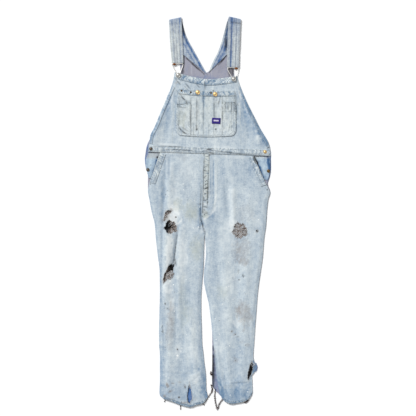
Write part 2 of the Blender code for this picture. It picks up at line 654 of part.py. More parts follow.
def strap(side, back, fold, front):
    """One doubled strap: up the back, folded over at the shoulder, and down the front."""
    half = STRAP_CLOTH / 2
    low, high = back["base"][-1] + half, front["base"][0] + half
    radius = (high - low) / 2
    places = [(ox, oy, nx, ny, base + half, 0.0) for ox, oy, nx, ny, base in zip(*back.values())]
    for turn in np.linspace(0, math.pi, FOLD_STEPS + 1):
        (ox, nx), (oy, ny) = fold["x"], fold["y"] + radius * math.sin(turn)
        places.append((ox, oy, nx, ny, (low + high) / 2 - radius * math.cos(turn), turn))
    for ox, oy, nx, ny, base in zip(*front.values()):
        places.append((ox, oy, nx, ny, base + half, math.pi))
    rings = []
    for ox, oy, nx, ny, level, turn in places:
        out = half * np.array([0.0, -math.sin(turn), math.cos(turn)])
        outer, neck = np.array([ox, oy, level]), np.array([nx, ny, level])
        rings.append((outer + out, outer - out, neck - out, neck + out))
    last = 4 * (len(rings) - 1)
    polygons = [
        (i + j, i + (j + 1) % 4, i + 4 + (j + 1) % 4, i + 4 + j)
        for i in range(0, last, 4)
        for j in range(4)
    ]
    polygons += [(3, 2, 1, 0), (last, last + 1, last + 2, last + 3)]
    if side == "r":
        polygons = [p[::-1] for p in polygons]
    solid(f"strap_{side}", np.array(rings).reshape(-1, 3), polygons, "strap_denim")


def top_of_bib(bib_cloth, x, y, layers, radius):
    """The highest point round a button, over a number of folded layers on the bib."""
    cloth, base = bib_cloth
    turns = np.linspace(0, math.tau, 24, endpoint=False)
    rim = np.column_stack([x + radius * np.cos(turns), y + radius * np.sin(turns)])
    within = np.hypot(*(cloth.points - (x, y)).T) < radius
    highest = max([*cloth.level(base, rim), *base[within]])
    return highest + DENIM + layers * (SEAM_GAP + FOLDED_DENIM)


def turned(name, centre, profile, apex, colour):
    """A solid turned round a vertical axis, from the radius and height of each ring."""
    turns = np.arange(BUTTON_SEGMENTS) / BUTTON_SEGMENTS * math.tau
    ring = np.column_stack([np.cos(turns), np.sin(turns)])
    points = [np.column_stack([ring * r, np.full(BUTTON_SEGMENTS, z)]) for r, z in profile]
    points = np.vstack([*points, [(0, 0, profile[0][1])], [(0, 0, apex)]]) + (*centre, 0)
    n, last = BUTTON_SEGMENTS, len(profile) - 1
    polygons = [
        (k * n + i, k * n + (i + 1) % n, (k + 1) * n + (i + 1) % n, (k + 1) * n + i)
        for k in range(last)
        for i in range(n)
    ]
    bottom, top = len(points) - 2, len(points) - 1
    polygons += [(bottom, (i + 1) % n, i) for i in range(n)]
    polygons += [(top, last * n + i, last * n + (i + 1) % n) for i in range(n)]
    made = solid(name, points, polygons, colour)
    made.data.shade_smooth()
    made.data.set_sharp_from_angle(angle=math.radians(40))


def button(name, centre, foot, radius, shank):
    """A domed tack button on a short shank, with a dished rim."""
    metal = "nickel_wire" if name.startswith("bib") else "worn_brass"
    head = foot + shank
    profile = [
        (SHANK_RADIUS, foot), (SHANK_RADIUS, head), (radius * 0.96, head + 0.2),
        (radius, head + 0.9), (radius * 0.86, head + 1.9), (radius * 0.62, head + 1.7),
        (radius * 0.30, head + 2.4),
    ]
    turned(name, centre, profile, head + 2.6, metal)


def rivet(name, centre, foot):
    """A small pressed rivet with a sunken middle."""
    r = RIVET_RADIUS
    profile = [(r * 0.9, foot), (r, foot + 0.4), (r * 0.75, foot + 1.0), (r * 0.4, foot + 0.7)]
    turned(name, centre, profile, foot + 0.6, "dark_rivet")


def buckle(side, bar, bar_level, centre, loop_level):
    """A wire buckle: a bar at the strap's end, and a loop round the neck of the bib button."""
    (bx, by), (cx, cy) = bar, centre
    w, r = BUCKLE_HALF_WIDTH, BUCKLE_CORNER
    shoulder = by - 3 * r
    turns = np.radians(np.linspace(40, -220, LOOP_POINTS))
    loop = [(cx + BUCKLE_LOOP * math.cos(t), cy + BUCKLE_LOOP * math.sin(t)) for t in turns]
    right = [(bx + w - r, by), (bx + w, by - r), (bx + w - r / 2, shoulder)]
    left = [(2 * bx - x, y) for x, y in right[::-1]]
    path = [(bx, by), *right, *loop, *left]
    curve = bpy.data.curves.new(f"buckle_{side}", "CURVE")
    curve.dimensions = "3D"
    curve.bevel_depth = WIRE / 2 * MM
    curve.bevel_resolution = 1
    spline = curve.splines.new("POLY")
    spline.points.add(len(path) - 1)
    spline.use_cyclic_u = True
    for point, (x, y) in zip(spline.points, path):
        share = float(smooth((shoulder - y) / (4 * r)))
        level = bar_level + (loop_level - bar_level) * share
        point.co = (x * MM, y * MM, level * MM, 1.0)
    curve.materials.append(material("nickel_wire"))
    made = bpy.data.objects.new(f"buckle_{side}", curve)
    bpy.context.scene.collection.objects.link(made)


def seated_button(name, bib_cloth, place, layers, radius, over=0.0):
    """A button just clear of the cloth round it, and of anything that lies under its head."""
    foot = top_of_bib(bib_cloth, *place, layers, SHANK_RADIUS) + SEAM_GAP
    shank = top_of_bib(bib_cloth, *place, layers, radius) - foot + over + 2 * SEAM_GAP
    button(name, place, foot, radius, max(LEAST_SHANK, shank))


def hardware(bib_cloth):
    """Buckles, buttons and rivets, each set on the cloth under it."""
    for side, end in (("r", STRAP_FRONT_RIGHT), ("l", STRAP_FRONT_LEFT)):
        place = BIB_BUTTONS[side]
        over = WIRE + SEAM_GAP
        seated_button(f"bib_button_{side}", bib_cloth, place, 1, BIB_BUTTON_RADIUS, over)
        bar = (end["outer_x"][-1] + end["neck_x"][-1]) / 2, end["outer_y"][-1] - WIRE / 2 - SEAM_GAP
        loop_level = top_of_bib(bib_cloth, *place, 1, BIB_BUTTON_RADIUS) + SEAM_GAP + WIRE / 2
        buckle(side, bar, end["base"][-1] + STRAP_CLOTH / 2, place, loop_level)
        name = f"pocket_button_{side}"
        seated_button(name, bib_cloth, POCKET_BUTTONS[side], 2, POCKET_BUTTON_RADIUS)
        name = f"waist_button_{side}"
        seated_button(name, bib_cloth, WAIST_BUTTONS[side], 1, SIDE_BUTTON_RADIUS)
        foot = SEAM_LEVEL + FOLDED_DENIM + SEAM_GAP
        button(f"hip_button_{side}", HIP_BUTTONS[side], foot, SIDE_BUTTON_RADIUS, LEAST_SHANK)
    for place, centre in RIVETS.items():
        foot = top_of_bib(bib_cloth, *centre, 2, RIVET_RADIUS) + SEAM_GAP
        rivet(f"pocket_rivet_{place}", centre, foot)


def main():
    clear_scene()
    back_panels()
    side_facings()
    front_leg("right")
    front_leg("left")
    bib_cloth = bib()
    strap("r", STRAP_BACK_RIGHT, FOLD_RIGHT, STRAP_FRONT_RIGHT)
    strap("l", STRAP_BACK_LEFT, FOLD_LEFT, STRAP_FRONT_LEFT)
    hardware(bib_cloth)


main()
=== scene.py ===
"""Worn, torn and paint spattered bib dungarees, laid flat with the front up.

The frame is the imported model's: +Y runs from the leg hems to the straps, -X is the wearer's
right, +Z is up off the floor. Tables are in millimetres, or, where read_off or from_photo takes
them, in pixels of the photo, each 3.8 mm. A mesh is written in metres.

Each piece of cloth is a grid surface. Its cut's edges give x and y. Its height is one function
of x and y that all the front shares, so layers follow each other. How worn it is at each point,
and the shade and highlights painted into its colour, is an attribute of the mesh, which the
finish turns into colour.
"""

import logging
import math
from collections.abc import Sequence
from dataclasses import dataclass, field
from enum import Enum
from typing import Any

import bpy
import numpy as np
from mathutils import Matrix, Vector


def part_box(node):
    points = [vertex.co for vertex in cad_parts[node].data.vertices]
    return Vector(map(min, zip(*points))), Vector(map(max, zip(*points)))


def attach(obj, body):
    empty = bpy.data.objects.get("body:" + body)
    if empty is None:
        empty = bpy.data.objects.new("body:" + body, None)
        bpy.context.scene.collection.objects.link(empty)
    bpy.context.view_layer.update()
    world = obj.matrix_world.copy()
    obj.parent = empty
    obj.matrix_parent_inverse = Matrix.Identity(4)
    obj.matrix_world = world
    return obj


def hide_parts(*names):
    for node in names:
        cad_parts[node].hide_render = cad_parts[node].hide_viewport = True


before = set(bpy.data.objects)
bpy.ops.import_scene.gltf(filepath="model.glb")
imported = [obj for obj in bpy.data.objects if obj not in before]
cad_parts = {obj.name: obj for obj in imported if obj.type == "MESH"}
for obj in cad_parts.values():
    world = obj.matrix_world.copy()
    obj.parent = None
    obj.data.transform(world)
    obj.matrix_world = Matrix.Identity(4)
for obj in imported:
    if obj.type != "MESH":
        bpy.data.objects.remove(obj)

Array = np.ndarray
Table = dict[str, Array]
Tree = bpy.types.NodeTree
Socket = bpy.types.NodeSocket
Value = Socket | float | tuple[float, ...]

LOG = logging.getLogger("dungarees")

# Metres in a millimetre, millimetres in a pixel of the photo, and the pixel where x and y are 0
MM = 0.001
PIXEL = 3.8
PHOTO_X, PHOTO_Y = 207.9, 211.85

# Single cloth, a folded band and a doubled strap, the gap at a seam, and the level of the
# fronts at a side seam. All lengths from here on are in millimetres
DENIM = 1.6
FOLDED = 1.4
STRAP_CLOTH = 2.6
SEAM_GAP = 0.3
HALF_GAP = SEAM_GAP / 2
SEAM_LEVEL = DENIM + SEAM_GAP
# How far in from a seam the front has risen, and the least that it rises
SIDE_ROLL = 15.0
LEAST_RISE, LEAST_PUFF = 0.6, 1.8
# Where the two legs part, and over what height their inner sides come down; where the bib's
# own outline begins; the crotch; the centre of the waist
LEGS_PART_BELOW, LEGS_PART_OVER = -60.0, 70.0
BIB_STARTS = 232.0
CROTCH = -88.0
CENTRE_X = -11.5


def columns(names: str, rows: Sequence[Sequence[float]]) -> Table:
    """A short table as one array for each named column."""
    return dict(zip(names.split(), np.array(rows, float).T))


def read_off(names: str, rows: Sequence[Sequence[float]]) -> Table:
    """A table read off the photo, with places and sizes in its pixels.

    Args:
        names: column names. Those that start with x or y are places, and wide, tall and
            across are sizes.
        rows: the rows of the table.

    Returns:
        The table with places and sizes in millimetres.
    """
    table = columns(names, rows)
    for name, column in table.items():
        if name[0] == "x":
            table[name] = (column - PHOTO_X) * PIXEL
        elif name[0] == "y":
            table[name] = (PHOTO_Y - column) * PIXEL
        elif name in ("wide", "tall", "across"):
            table[name] = column * PIXEL
    return table


# The cut's edges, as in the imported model
BODY_SIDES = columns("height right left", [
    (-705, -180, 166), (-684, -184, 169.5), (-640, -182, 168), (-616, -182, 167), (-604, -182, 178),
    (-585, -182, 184), (-566, -182, 175), (-545, -182, 172), (-502, -185.5, 175),
    (-440, -185.5, 179), (-380, -184, 183.5), (-300, -182, 190), (-228, -183, 200),
    (-167, -190, 208.5), (-106, -197, 213), (-46, -202, 221), (0, -213.5, 224), (46, -222, 229),
    (76, -227.5, 237), (106, -228, 228), (137, -228, 236), (167, -236, 239.4), (198, -239.4, 239),
    (228, -236, 238), (250, -232, 231), (272, -223, 221), (292, -212, 209), (330, -190, 184),
    (380, -162, 156), (430, -137, 129), (480, -114, 106), (528, -104, 99), (570, -106, 98),
    (605, -106, 98),
])
BIB_SIDES = columns("height right left", [
    (200, -231, 239), (219, -229, 238), (240, -226, 236), (262, -222, 230), (289, -219, 215),
    (319, -204, 197), (350, -191, 181.5), (380, -179, 166), (410, -166, 151), (441, -153, 137),
    (471, -140, 125), (502, -131, 114.5), (512, -129, 112), (531, -126, 109),
])
INSEAMS = columns("height right left left_back", [
    (-705, 0, 52, 51), (-690, -3, 45, 41), (-678, -6, 42, 27), (-656, -7, 38, 15.5),
    (-623, -8, 33, 15), (-565, -15, 27, 16), (-534, -18, 24, 16), (-504, -22, 21, 16),
    (-443, -24, 15, 15), (-413, -25, 12, 12), (-382, -26, 8, 8), (-352, -26, 4, 4),
    (-322, -26, -3, -3), (-291, -24, -10, -10), (-261, -22, -15, -15), (-230, -19, -14.5, -14.5),
    (-200, -17, -11, -11), (-158, -16, -7, -7), (-124, -15, -8.5, -8.5),
    (-101, -14.5, -11.2, -11.2), (-88, -13.3, -12.7, -12.7),
])
CENTRE_SEAM = columns("height front back", [
    (-88, -13, -13), (-27, -24, -11.5), (20, -20, -11.5), (110, -15.5, -11.5), (219, -11.5, -11.5),
    (530, -11.5, -11.5),
])
HEM_RIGHT = columns("x y", [
    (-181, -699), (-167, -710), (-136, -721), (-109, -732), (-86, -739.5), (-64, -741.6),
    (-47, -735), (-19, -727), (-8, -717), (0, -704),
])
HEM_LEFT = columns("x y", [
    (52, -704), (59, -715.5), (73, -725), (90, -729), (114, -726.5), (139.5, -720), (156, -709.6),
    (164, -697), (167, -686),
])
BIB_TOP = columns("x y", [
    (-126, 530), (-92, 521), (-60, 513), (-18, 505), (10, 503), (40, 505.5), (75, 510),
    (110.5, 516),
])
BACK_TOP_RIGHT = columns("x y", [
    (-106, 605), (-103, 610), (-80, 596), (-48, 569), (-16, 538), (-11.5, 526),
])
BACK_TOP_LEFT = columns("x y", [
    (-11.5, 526), (5, 535), (11, 546), (43, 576), (74, 605), (98, 605),
])
MOUTH_RIGHT = columns("x y", [
    (-181, 225), (-189, 203), (-199, 175), (-208, 148), (-216, 126), (-223, 108), (-226.2, 90),
])
MOUTH_LEFT = columns("x y", [
    (173, 213), (182, 193), (193, 167), (205, 140), (215, 118), (226, 98), (234.5, 80),
])
STRAP_BACK_RIGHT = columns("outer_x outer_y neck_x neck_y base", [
    (-100.5, 603, -3, 522.5, 1.9), (-106, 611, -38, 584, 1.9), (-113, 624, -55, 615, 1.9),
    (-122, 640, -75, 651, 1.2), (-134, 676, -88.5, 684, 0.2), (-142, 712, -97, 718, 0),
])
STRAP_FRONT_RIGHT = columns("outer_x outer_y neck_x neck_y base", [
    (-147, 716, -100, 724, 4.6), (-145, 670, -97, 674, 4.9), (-142, 625, -95, 628, 5),
    (-138.5, 588, -93.5, 590, 5), (-137, 564.5, -92.5, 564.5, 4.8),
])
STRAP_BACK_LEFT = columns("outer_x outer_y neck_x neck_y base", [
    (75, 600, 2.5, 529.5, 1.9), (82, 611, 20.5, 573, 1.9), (87, 622, 37.5, 605, 1.9),
    (96, 645, 51.5, 645, 1.2), (108, 680, 62.5, 683, 0.2), (119, 714, 72.5, 720, 0),
])
STRAP_FRONT_LEFT = columns("outer_x outer_y neck_x neck_y base", [
    (124.5, 719, 77, 727, 4.6), (122, 675, 76, 678, 4.9), (120.5, 630, 74.5, 632, 5),
    (118.5, 590, 73, 590, 5), (118, 548.5, 72, 548.5, 4.8),
])
STRAP_FOLDS = {
    "r": columns("x y", [(-147.5, 725.5), (-100.5, 735.5)]),
    "l": columns("x y", [(125, 728), (79, 738.3)]),
}

# Height of the front over its seams, and its largest folds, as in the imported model
PUFF = columns("height rise", [
    (-742, 2.6), (-600, 3.2), (-300, 3.6), (-60, 3.6), (120, 3.6), (219, 3), (330, 3), (450, 2.4),
    (530, 1.6),
])
FOLDS = columns("x1 y1 x2 y2 width rise", [
    (-158, -80, -160, -330, 15, 6), (-128, -70, -137, -205, 8, -2.6),
    (-104, -60, -112, -330, 16, 3.6), (-166, 120, -172, -20, 9, -2.4),
    (-144, 170, -150, 20, 14, 3.4), (-40, 60, -36, -40, 10, -2.2), (-70, -380, -40, -690, 18, 3.2),
    (-140, -400, -150, -690, 16, 3), (-105, -480, -95, -700, 9, -1.8), (92, 80, 99, -45, 10, 3.6),
    (76, 110, 82, -20, 9, -2.2), (150, 60, 160, -60, 14, 2.6), (60, -160, 78, -420, 16, 3.4),
    (150, -150, 140, -420, 15, 3.8), (110, -200, 108, -560, 11, -2), (70, -500, 85, -715, 14, 3.2),
    (140, -470, 130, -690, 14, 2.6), (-175, 400, -200, 270, 13, 2.8),
    (-148, 410, -160, 270, 9, -1.8), (160, 400, 195, 270, 13, 3.2), (138, 400, 150, 270, 9, -1.8),
    (-188, 214, -203, 165, 9, 2.6), (180, 204, 198, 155, 9, 3), (120, -640, 60, -660, 8, 1.6),
])

# Narrow creases and grooves of the front: the line in pixels, its width and depth in mm
CREASES = read_off("x1 y1 x2 y2 width rise", [
    (175.5, 80, 180, 85.5, 3, -0.9), (185, 83, 190.5, 89.5, 3, -0.9),
    (196, 84, 200.5, 88.5, 3, -0.8), (180.5, 79, 184, 84, 3, -0.5), (177.5, 93, 187, 105, 4, -1),
    (181, 102, 186, 106, 3, -0.9), (216, 96, 219.5, 104, 4, -0.9), (217.5, 82, 232, 79.5, 3, -0.7),
    (157, 146.2, 172, 147.6, 2.6, -1), (172, 149.6, 190, 150.4, 2.8, -1.2),
    (212, 150.6, 232, 153, 2.8, -1.1), (230, 152.6, 252, 155.2, 2.8, -1.1),
    (198, 150, 205, 149.4, 2.6, -0.8), (205, 147.6, 213, 151.6, 3, -1),
    (204, 151.5, 214, 149, 3, -0.9), (206, 154.6, 214, 157, 3, -0.8),
    (177.8, 229, 172.6, 263, 4.6, -2.4), (163.2, 196, 160.5, 300, 4.5, -1.4),
    (165.2, 160, 164.4, 198, 5, -1), (169.2, 158, 168.8, 178, 4, -0.8),
    (200.3, 196, 200, 222, 4, -1), (224.2, 186, 226.5, 214, 5, -1.1),
    (213.3, 161, 213, 196, 4, -0.9), (216.5, 212, 214, 214, 4, -0.4),
    (181.5, 290, 183.5, 356, 6, -0.8), (176.5, 290, 175, 342, 5, -0.9),
    (170, 367, 200, 369.5, 3.4, -0.3), (164, 372, 190, 374, 3, -0.5),
    (190.5, 375.5, 200, 372.5, 3.2, 0.7), (192, 381, 199, 375.5, 3.2, -0.8),
    (194, 385, 201, 380.5, 3.2, -0.6), (213.5, 348, 223, 396, 5, -1.4),
    (219, 352, 228, 398, 6, -0.8), (232, 383, 248, 382.4, 3, -1.3), (238, 340, 244, 372, 7, -0.7),
    (246, 318, 252, 350, 5, -0.7), (254, 216, 261, 221, 3.5, -0.7), (252, 222, 262, 226, 3, -0.6),
    (249, 209, 258, 213, 3.5, -0.6), (219, 275, 221, 330, 7, -0.7),
    (162, 300, 163.5, 352, 3.5, -0.9), (199.5, 228.5, 204.5, 231.5, 3, -0.7),
    (207, 219, 222, 224, 4, -0.6), (158, 110, 150.5, 132, 7, -0.7), (247, 104, 258, 128, 6, -0.9),
    (243, 108, 249.5, 140, 5, -0.6), (183, 139, 198, 143.5, 4, -0.5),
])

# Marks on the cloth: place and half sizes in pixels, lean in degrees, and strength
INDIGO_MARKS = read_off("x y wide tall lean amount", [
    (157.5, 246, 5.5, 60, 1, 0.06), (160.6, 250, 2.2, 55, 1, 0.1), (158.5, 190, 7, 26, -6, 0.1),
    (163.8, 182, 2.6, 26, 1, 0.14), (168.8, 168, 1.6, 12, 0, 0.12), (199.8, 200, 2.4, 30, 1, 0.2),
    (201.5, 219, 1.8, 14, -8, 0.28), (157, 246, 2, 50, 1, 0.04), (181.5, 300, 10, 26, 0, 0.05),
    (163, 330, 4, 46, 0, 0.1), (160.6, 375, 4.4, 30, 0, 0.2), (182, 384, 26, 14, 0, 0.12),
    (201, 300, 3, 70, 1, 0.1), (201.5, 360, 3.4, 34, -5, 0.16), (258.5, 240, 4.5, 40, 3, 0.08),
    (224, 200, 3.6, 24, -3, 0.12), (219.5, 168, 5, 16, 0, 0.1), (213.5, 250, 5, 50, -2, 0.13),
    (219, 318, 7, 34, -6, 0.08), (216.5, 372, 6, 26, -14, 0.06), (232, 390, 18, 14, 0, 0.14),
    (254.5, 300, 4, 40, 3, 0.06), (240, 176, 18, 12, 0, 0.08), (250, 162, 5, 10, -20, 0.1),
    (162, 118, 3.2, 32, 27, 0.42), (151, 136, 3, 15, 14, 0.02), (168.6, 101, 2.2, 10, 24, 0.4),
    (257.5, 121, 7.5, 27, -29, 0.52), (245.5, 101, 4.4, 14, -24, 0.34),
    (263.5, 138, 4.6, 11, -18, 0.46), (259, 146.5, 7, 4, 0, 0.24), (247.5, 122, 3, 20, -20, 0.14),
    (176.2, 112, 1.6, 20, 0, 0.28), (173, 97, 1.6, 10, 4, 0.2), (203.4, 97, 1.8, 9, 0, 0.5),
    (203.6, 110, 1.2, 14, 0, 0.24), (184, 104, 5, 4.5, 0, 0.18), (180.5, 129.5, 4, 3, 40, 0.26),
    (234.5, 127, 3, 4, -30, 0.2), (179, 108, 1.4, 16, 0, 0.18), (231, 107, 6, 5, 0, 0.14),
    (204.6, 85.5, 2.4, 5, 0, 0.2), (187.5, 85.5, 4, 5, -35, 0.12), (197.5, 80.5, 9, 2.4, -8, 0.14),
    (223, 84.5, 12, 4, 4, 0.1), (228, 98, 8, 4, 0, 0.08), (207, 121, 2.2, 15, 0, 0.1),
    (213.6, 104, 1.4, 10, 0, 0.16), (205.8, 143.5, 3, 5, 0, 0.16), (185, 143, 14, 4, 0, 0.06),
    (231, 144, 14, 4, 0, 0.06), (212.5, 172, 2.6, 22, 0, 0.08), (210.2, 216.5, 3.4, 3.4, 30, 0.18),
    (202.4, 226, 3, 5, -8, 0.16), (239.5, 238.5, 9, 6, 0, 0.08), (183, 368.5, 16, 3, 3, 0.04),
    (232, 397, 24, 9, 0, 0.34), (217.5, 388, 5, 16, -14, 0.22), (184, 394, 26, 9, 0, 0.2),
    (254.8, 365.5, 2.2, 6.5, 8, 0.85), (240, 362, 16, 22, 0, 0.12), (248, 122, 8, 26, -24, 0.16),
    (192, 85, 14, 6, 0, 0.1), (205, 94, 26, 4, 0, 0.1), (167.5, 121, 3.4, 13, 10, 0.2),
    (169, 110, 4.5, 26, 14, 0.12), (170, 170, 6, 10, 0, 0.1), (236, 106, 11, 24, 0, 0.1),
    (254, 180, 6, 20, 0, 0.12), (205, 382, 6, 18, 0, 0.1), (242, 388, 8, 10, 0, 0.18),
    (210.6, 182, 0.6, 24, 0, 0.36), (213.4, 180, 0.6, 24, 0, 0.36), (209.8, 214, 3, 3, 30, 0.16),
    (208, 188, 0.6, 20, 0, 0.16), (184, 345, 12, 60, 0, 0.05), (168, 88, 3, 8, 20, 0.2),
    (238, 128, 8, 12, 0, 0.14), (182, 228, 6, 14, 0, 0.1), (194, 366, 5, 9, 0, 0.18),
    (168, 388, 6, 10, 0, 0.16), (205, 388, 5, 10, 0, 0.16), (254, 250, 5, 9, 0, 0.12),
    (230, 110, 5, 9, 0, 0.12), (206, 130, 5, 9, 0, 0.1), (170, 90, 5, 9, 0, 0.14),
    (242, 170, 10, 9, 0, 0.1), (174, 170, 10, 9, 0, 0.08), (196, 330, 5, 9, 0, -0.14),
    (170, 290, 5, 8, 0, 0.12), (157, 350, 4, 9, 0, -0.1), (254, 342, 4, 18, 0, -0.1),
    (182, 388, 6, 9, 0, -0.12), (180, 386, 18, 9, 0, -0.1), (174.7, 247, 3, 17, 6, -0.1),
])
# Pale marks: bleached spots and pale stitching, and painted highlights on the ridges of folds
PALE_MARKS = read_off("x y wide tall lean amount", [
    (169, 249, 3.6, 17, 4, 0.66), (172.5, 215.5, 8, 10, 0, 0.5), (182.5, 255, 5.5, 30, 0, 0.34),
    (231.8, 206, 3.6, 34, -3, 0.26), (231, 226, 7, 10, 10, 0.22), (173.5, 200, 6, 22, 2, 0.26),
    (171.8, 168, 2, 12, 0, 0.3), (167, 170, 1.6, 12, 0, 0.2), (187, 170, 10, 14, 0, 0.14),
    (168, 286, 4.5, 10, 6, 0.42), (171.5, 300, 3, 12, 0, 0.3), (178, 351, 3, 9, 10, 0.34),
    (191, 352, 8, 12, 0, 0.22), (194, 378, 7, 5, -28, 0.3), (202.5, 229, 2.6, 3.6, 0, 0.4),
    (225, 240, 8, 16, 0, 0.2), (225, 320, 7, 12, 0, 0.18), (237.3, 323.5, 4, 5, 0, 0.46),
    (217, 347, 7, 8, 0, 0.24), (229, 283, 10, 14, 0, 0.18), (215.7, 184, 1.1, 26, 0, 0.34),
    (212.8, 211.5, 1.4, 6, 36, 0.46), (206, 217.5, 1.4, 4, 55, 0.5),
    (204.6, 203.9, 3, 0.8, 22, 0.56), (209.3, 178, 0.5, 18, 0, 0.24), (212, 176, 0.5, 16, 0, 0.24),
    (214.8, 201, 1.1, 8, 8, 0.3), (172.5, 98, 1.4, 12, 4, 0.4), (167.5, 108, 1.6, 20, 24, 0.26),
    (243, 102, 1.4, 20, -22, 0.34), (239.4, 108, 1.3, 18, 0, 0.3), (205.8, 81.5, 1.8, 3, 0, 0.4),
    (180.5, 76.5, 3, 2, 0, 0.26), (221.4, 118, 2, 18, 0, 0.2), (194, 112, 2.4, 18, 0, 0.14),
    (208.5, 110, 2.2, 22, 0, 0.16), (257, 221, 5, 6, 0, 0.24), (168, 144.6, 10, 1.6, 2, 0.34),
    (224, 147.5, 12, 1.8, 3, 0.26), (175, 152.6, 14, 1.6, 2, 0.26), (236, 157.4, 16, 1.6, 3, 0.22),
])
SOIL_MARKS = read_off("x y wide tall lean amount", [
    (243.5, 251, 6.5, 14, 6, 0.44), (243, 262, 5, 4, 0, 0.3), (235.8, 249, 4.6, 10, 0, 0.32),
    (172, 313, 3.4, 14, 0, 0.26), (243.8, 313, 7.5, 13, -14, 0.56), (251, 322, 3, 6, -10, 0.05),
    (238.5, 311, 2.2, 4, 0, 0.3), (169.8, 222, 8, 9, 0, 0.2), (169.8, 329, 3.8, 22, 2, 0.4),
    (245, 213, 9, 10, 0, 0.2), (231.8, 331.2, 1.2, 1.4, 20, 0.75), (235, 334, 2.2, 1, -30, 0.55),
    (238, 336.6, 2, 1, 10, 0.45), (243.4, 330, 1.2, 2.2, 15, 0.5), (241, 342, 3.2, 1.4, -25, 0.34),
    (247.5, 344.5, 2.6, 2, 0, 0.34), (235.6, 360, 3, 2.6, 0, 0.36),
    (233.5, 357.5, 1.4, 1.2, 0, 0.3), (167.6, 385, 1.5, 3, -25, 0.8),
    (170.4, 391, 2.6, 1.3, -25, 0.75), (172.6, 383, 1.6, 0.9, 0, 0.55),
    (179.8, 382, 2.2, 1.1, 0, 0.45), (164.6, 395.4, 1.8, 1.2, -35, 0.8),
    (184.8, 386, 1.3, 2.2, -10, 0.5), (179.2, 397.2, 1.3, 1.3, 0, 0.55),
    (183.8, 402.6, 3.2, 1.2, -10, 0.7), (171, 399.2, 5.5, 0.9, -10, 0.55),
    (194, 398, 4, 2.4, 20, 0.22), (177.4, 349, 1, 1.7, -25, 0.75), (161, 342, 1.8, 1.8, 0, 0.22),
    (152.5, 154.5, 4, 3, 0, 0.3), (176.5, 82.5, 2.4, 1.2, -45, 0.45),
    (205.6, 190.5, 1.8, 6, 0, 0.24), (204.6, 212, 2.2, 4.2, 0, 0.34), (209.2, 190, 1.2, 8, 0, 0.3),
    (198, 104, 1, 10, 0, 0.24), (196.8, 126, 1, 6, 0, 0.3), (188.5, 118, 12, 20, 0, 0.1),
    (224, 118, 14, 20, 0, 0.08), (184, 156.5, 10, 4, 0, 0.14), (209.5, 152, 5, 3.4, 0, 0.3),
    (184.5, 182, 14, 22, 0, 0.06), (194, 382, 3, 6, 0, 0.18), (166.5, 219, 1.8, 2.4, 0, 0.55),
    (167, 211.5, 2.6, 1.4, 20, 0.55), (170.9, 209.2, 1.6, 1.6, 0, 0.6),
    (168.3, 215, 1.7, 2.8, 20, 0.42), (163.2, 220.8, 1.8, 1.4, 0, 0.45),
    (214.2, 371, 1.8, 22, 0, 0.55),
])
OLIVE_MARKS = read_off("x y wide tall lean amount", [
    (197, 248, 6.5, 12, 0, 0.17), (191, 211, 7, 9, 0, 0.2), (183, 306, 4, 26, 0, 0.09),
    (177.5, 205, 5, 6, 0, 0.16), (200, 112, 22, 22, 0, 0.07), (230, 112, 9, 20, 0, 0.07),
    (187, 312, 5, 10, 0, 0.08), (214.5, 386, 1.6, 4, 0, 0.5), (222, 292, 5, 8, 0, 0.12),
    (205.2, 214.5, 3.4, 4, 0, 0.22), (182, 119, 5, 9, 0, 0.14), (206.8, 176, 3, 26, 0, 0.14),
])
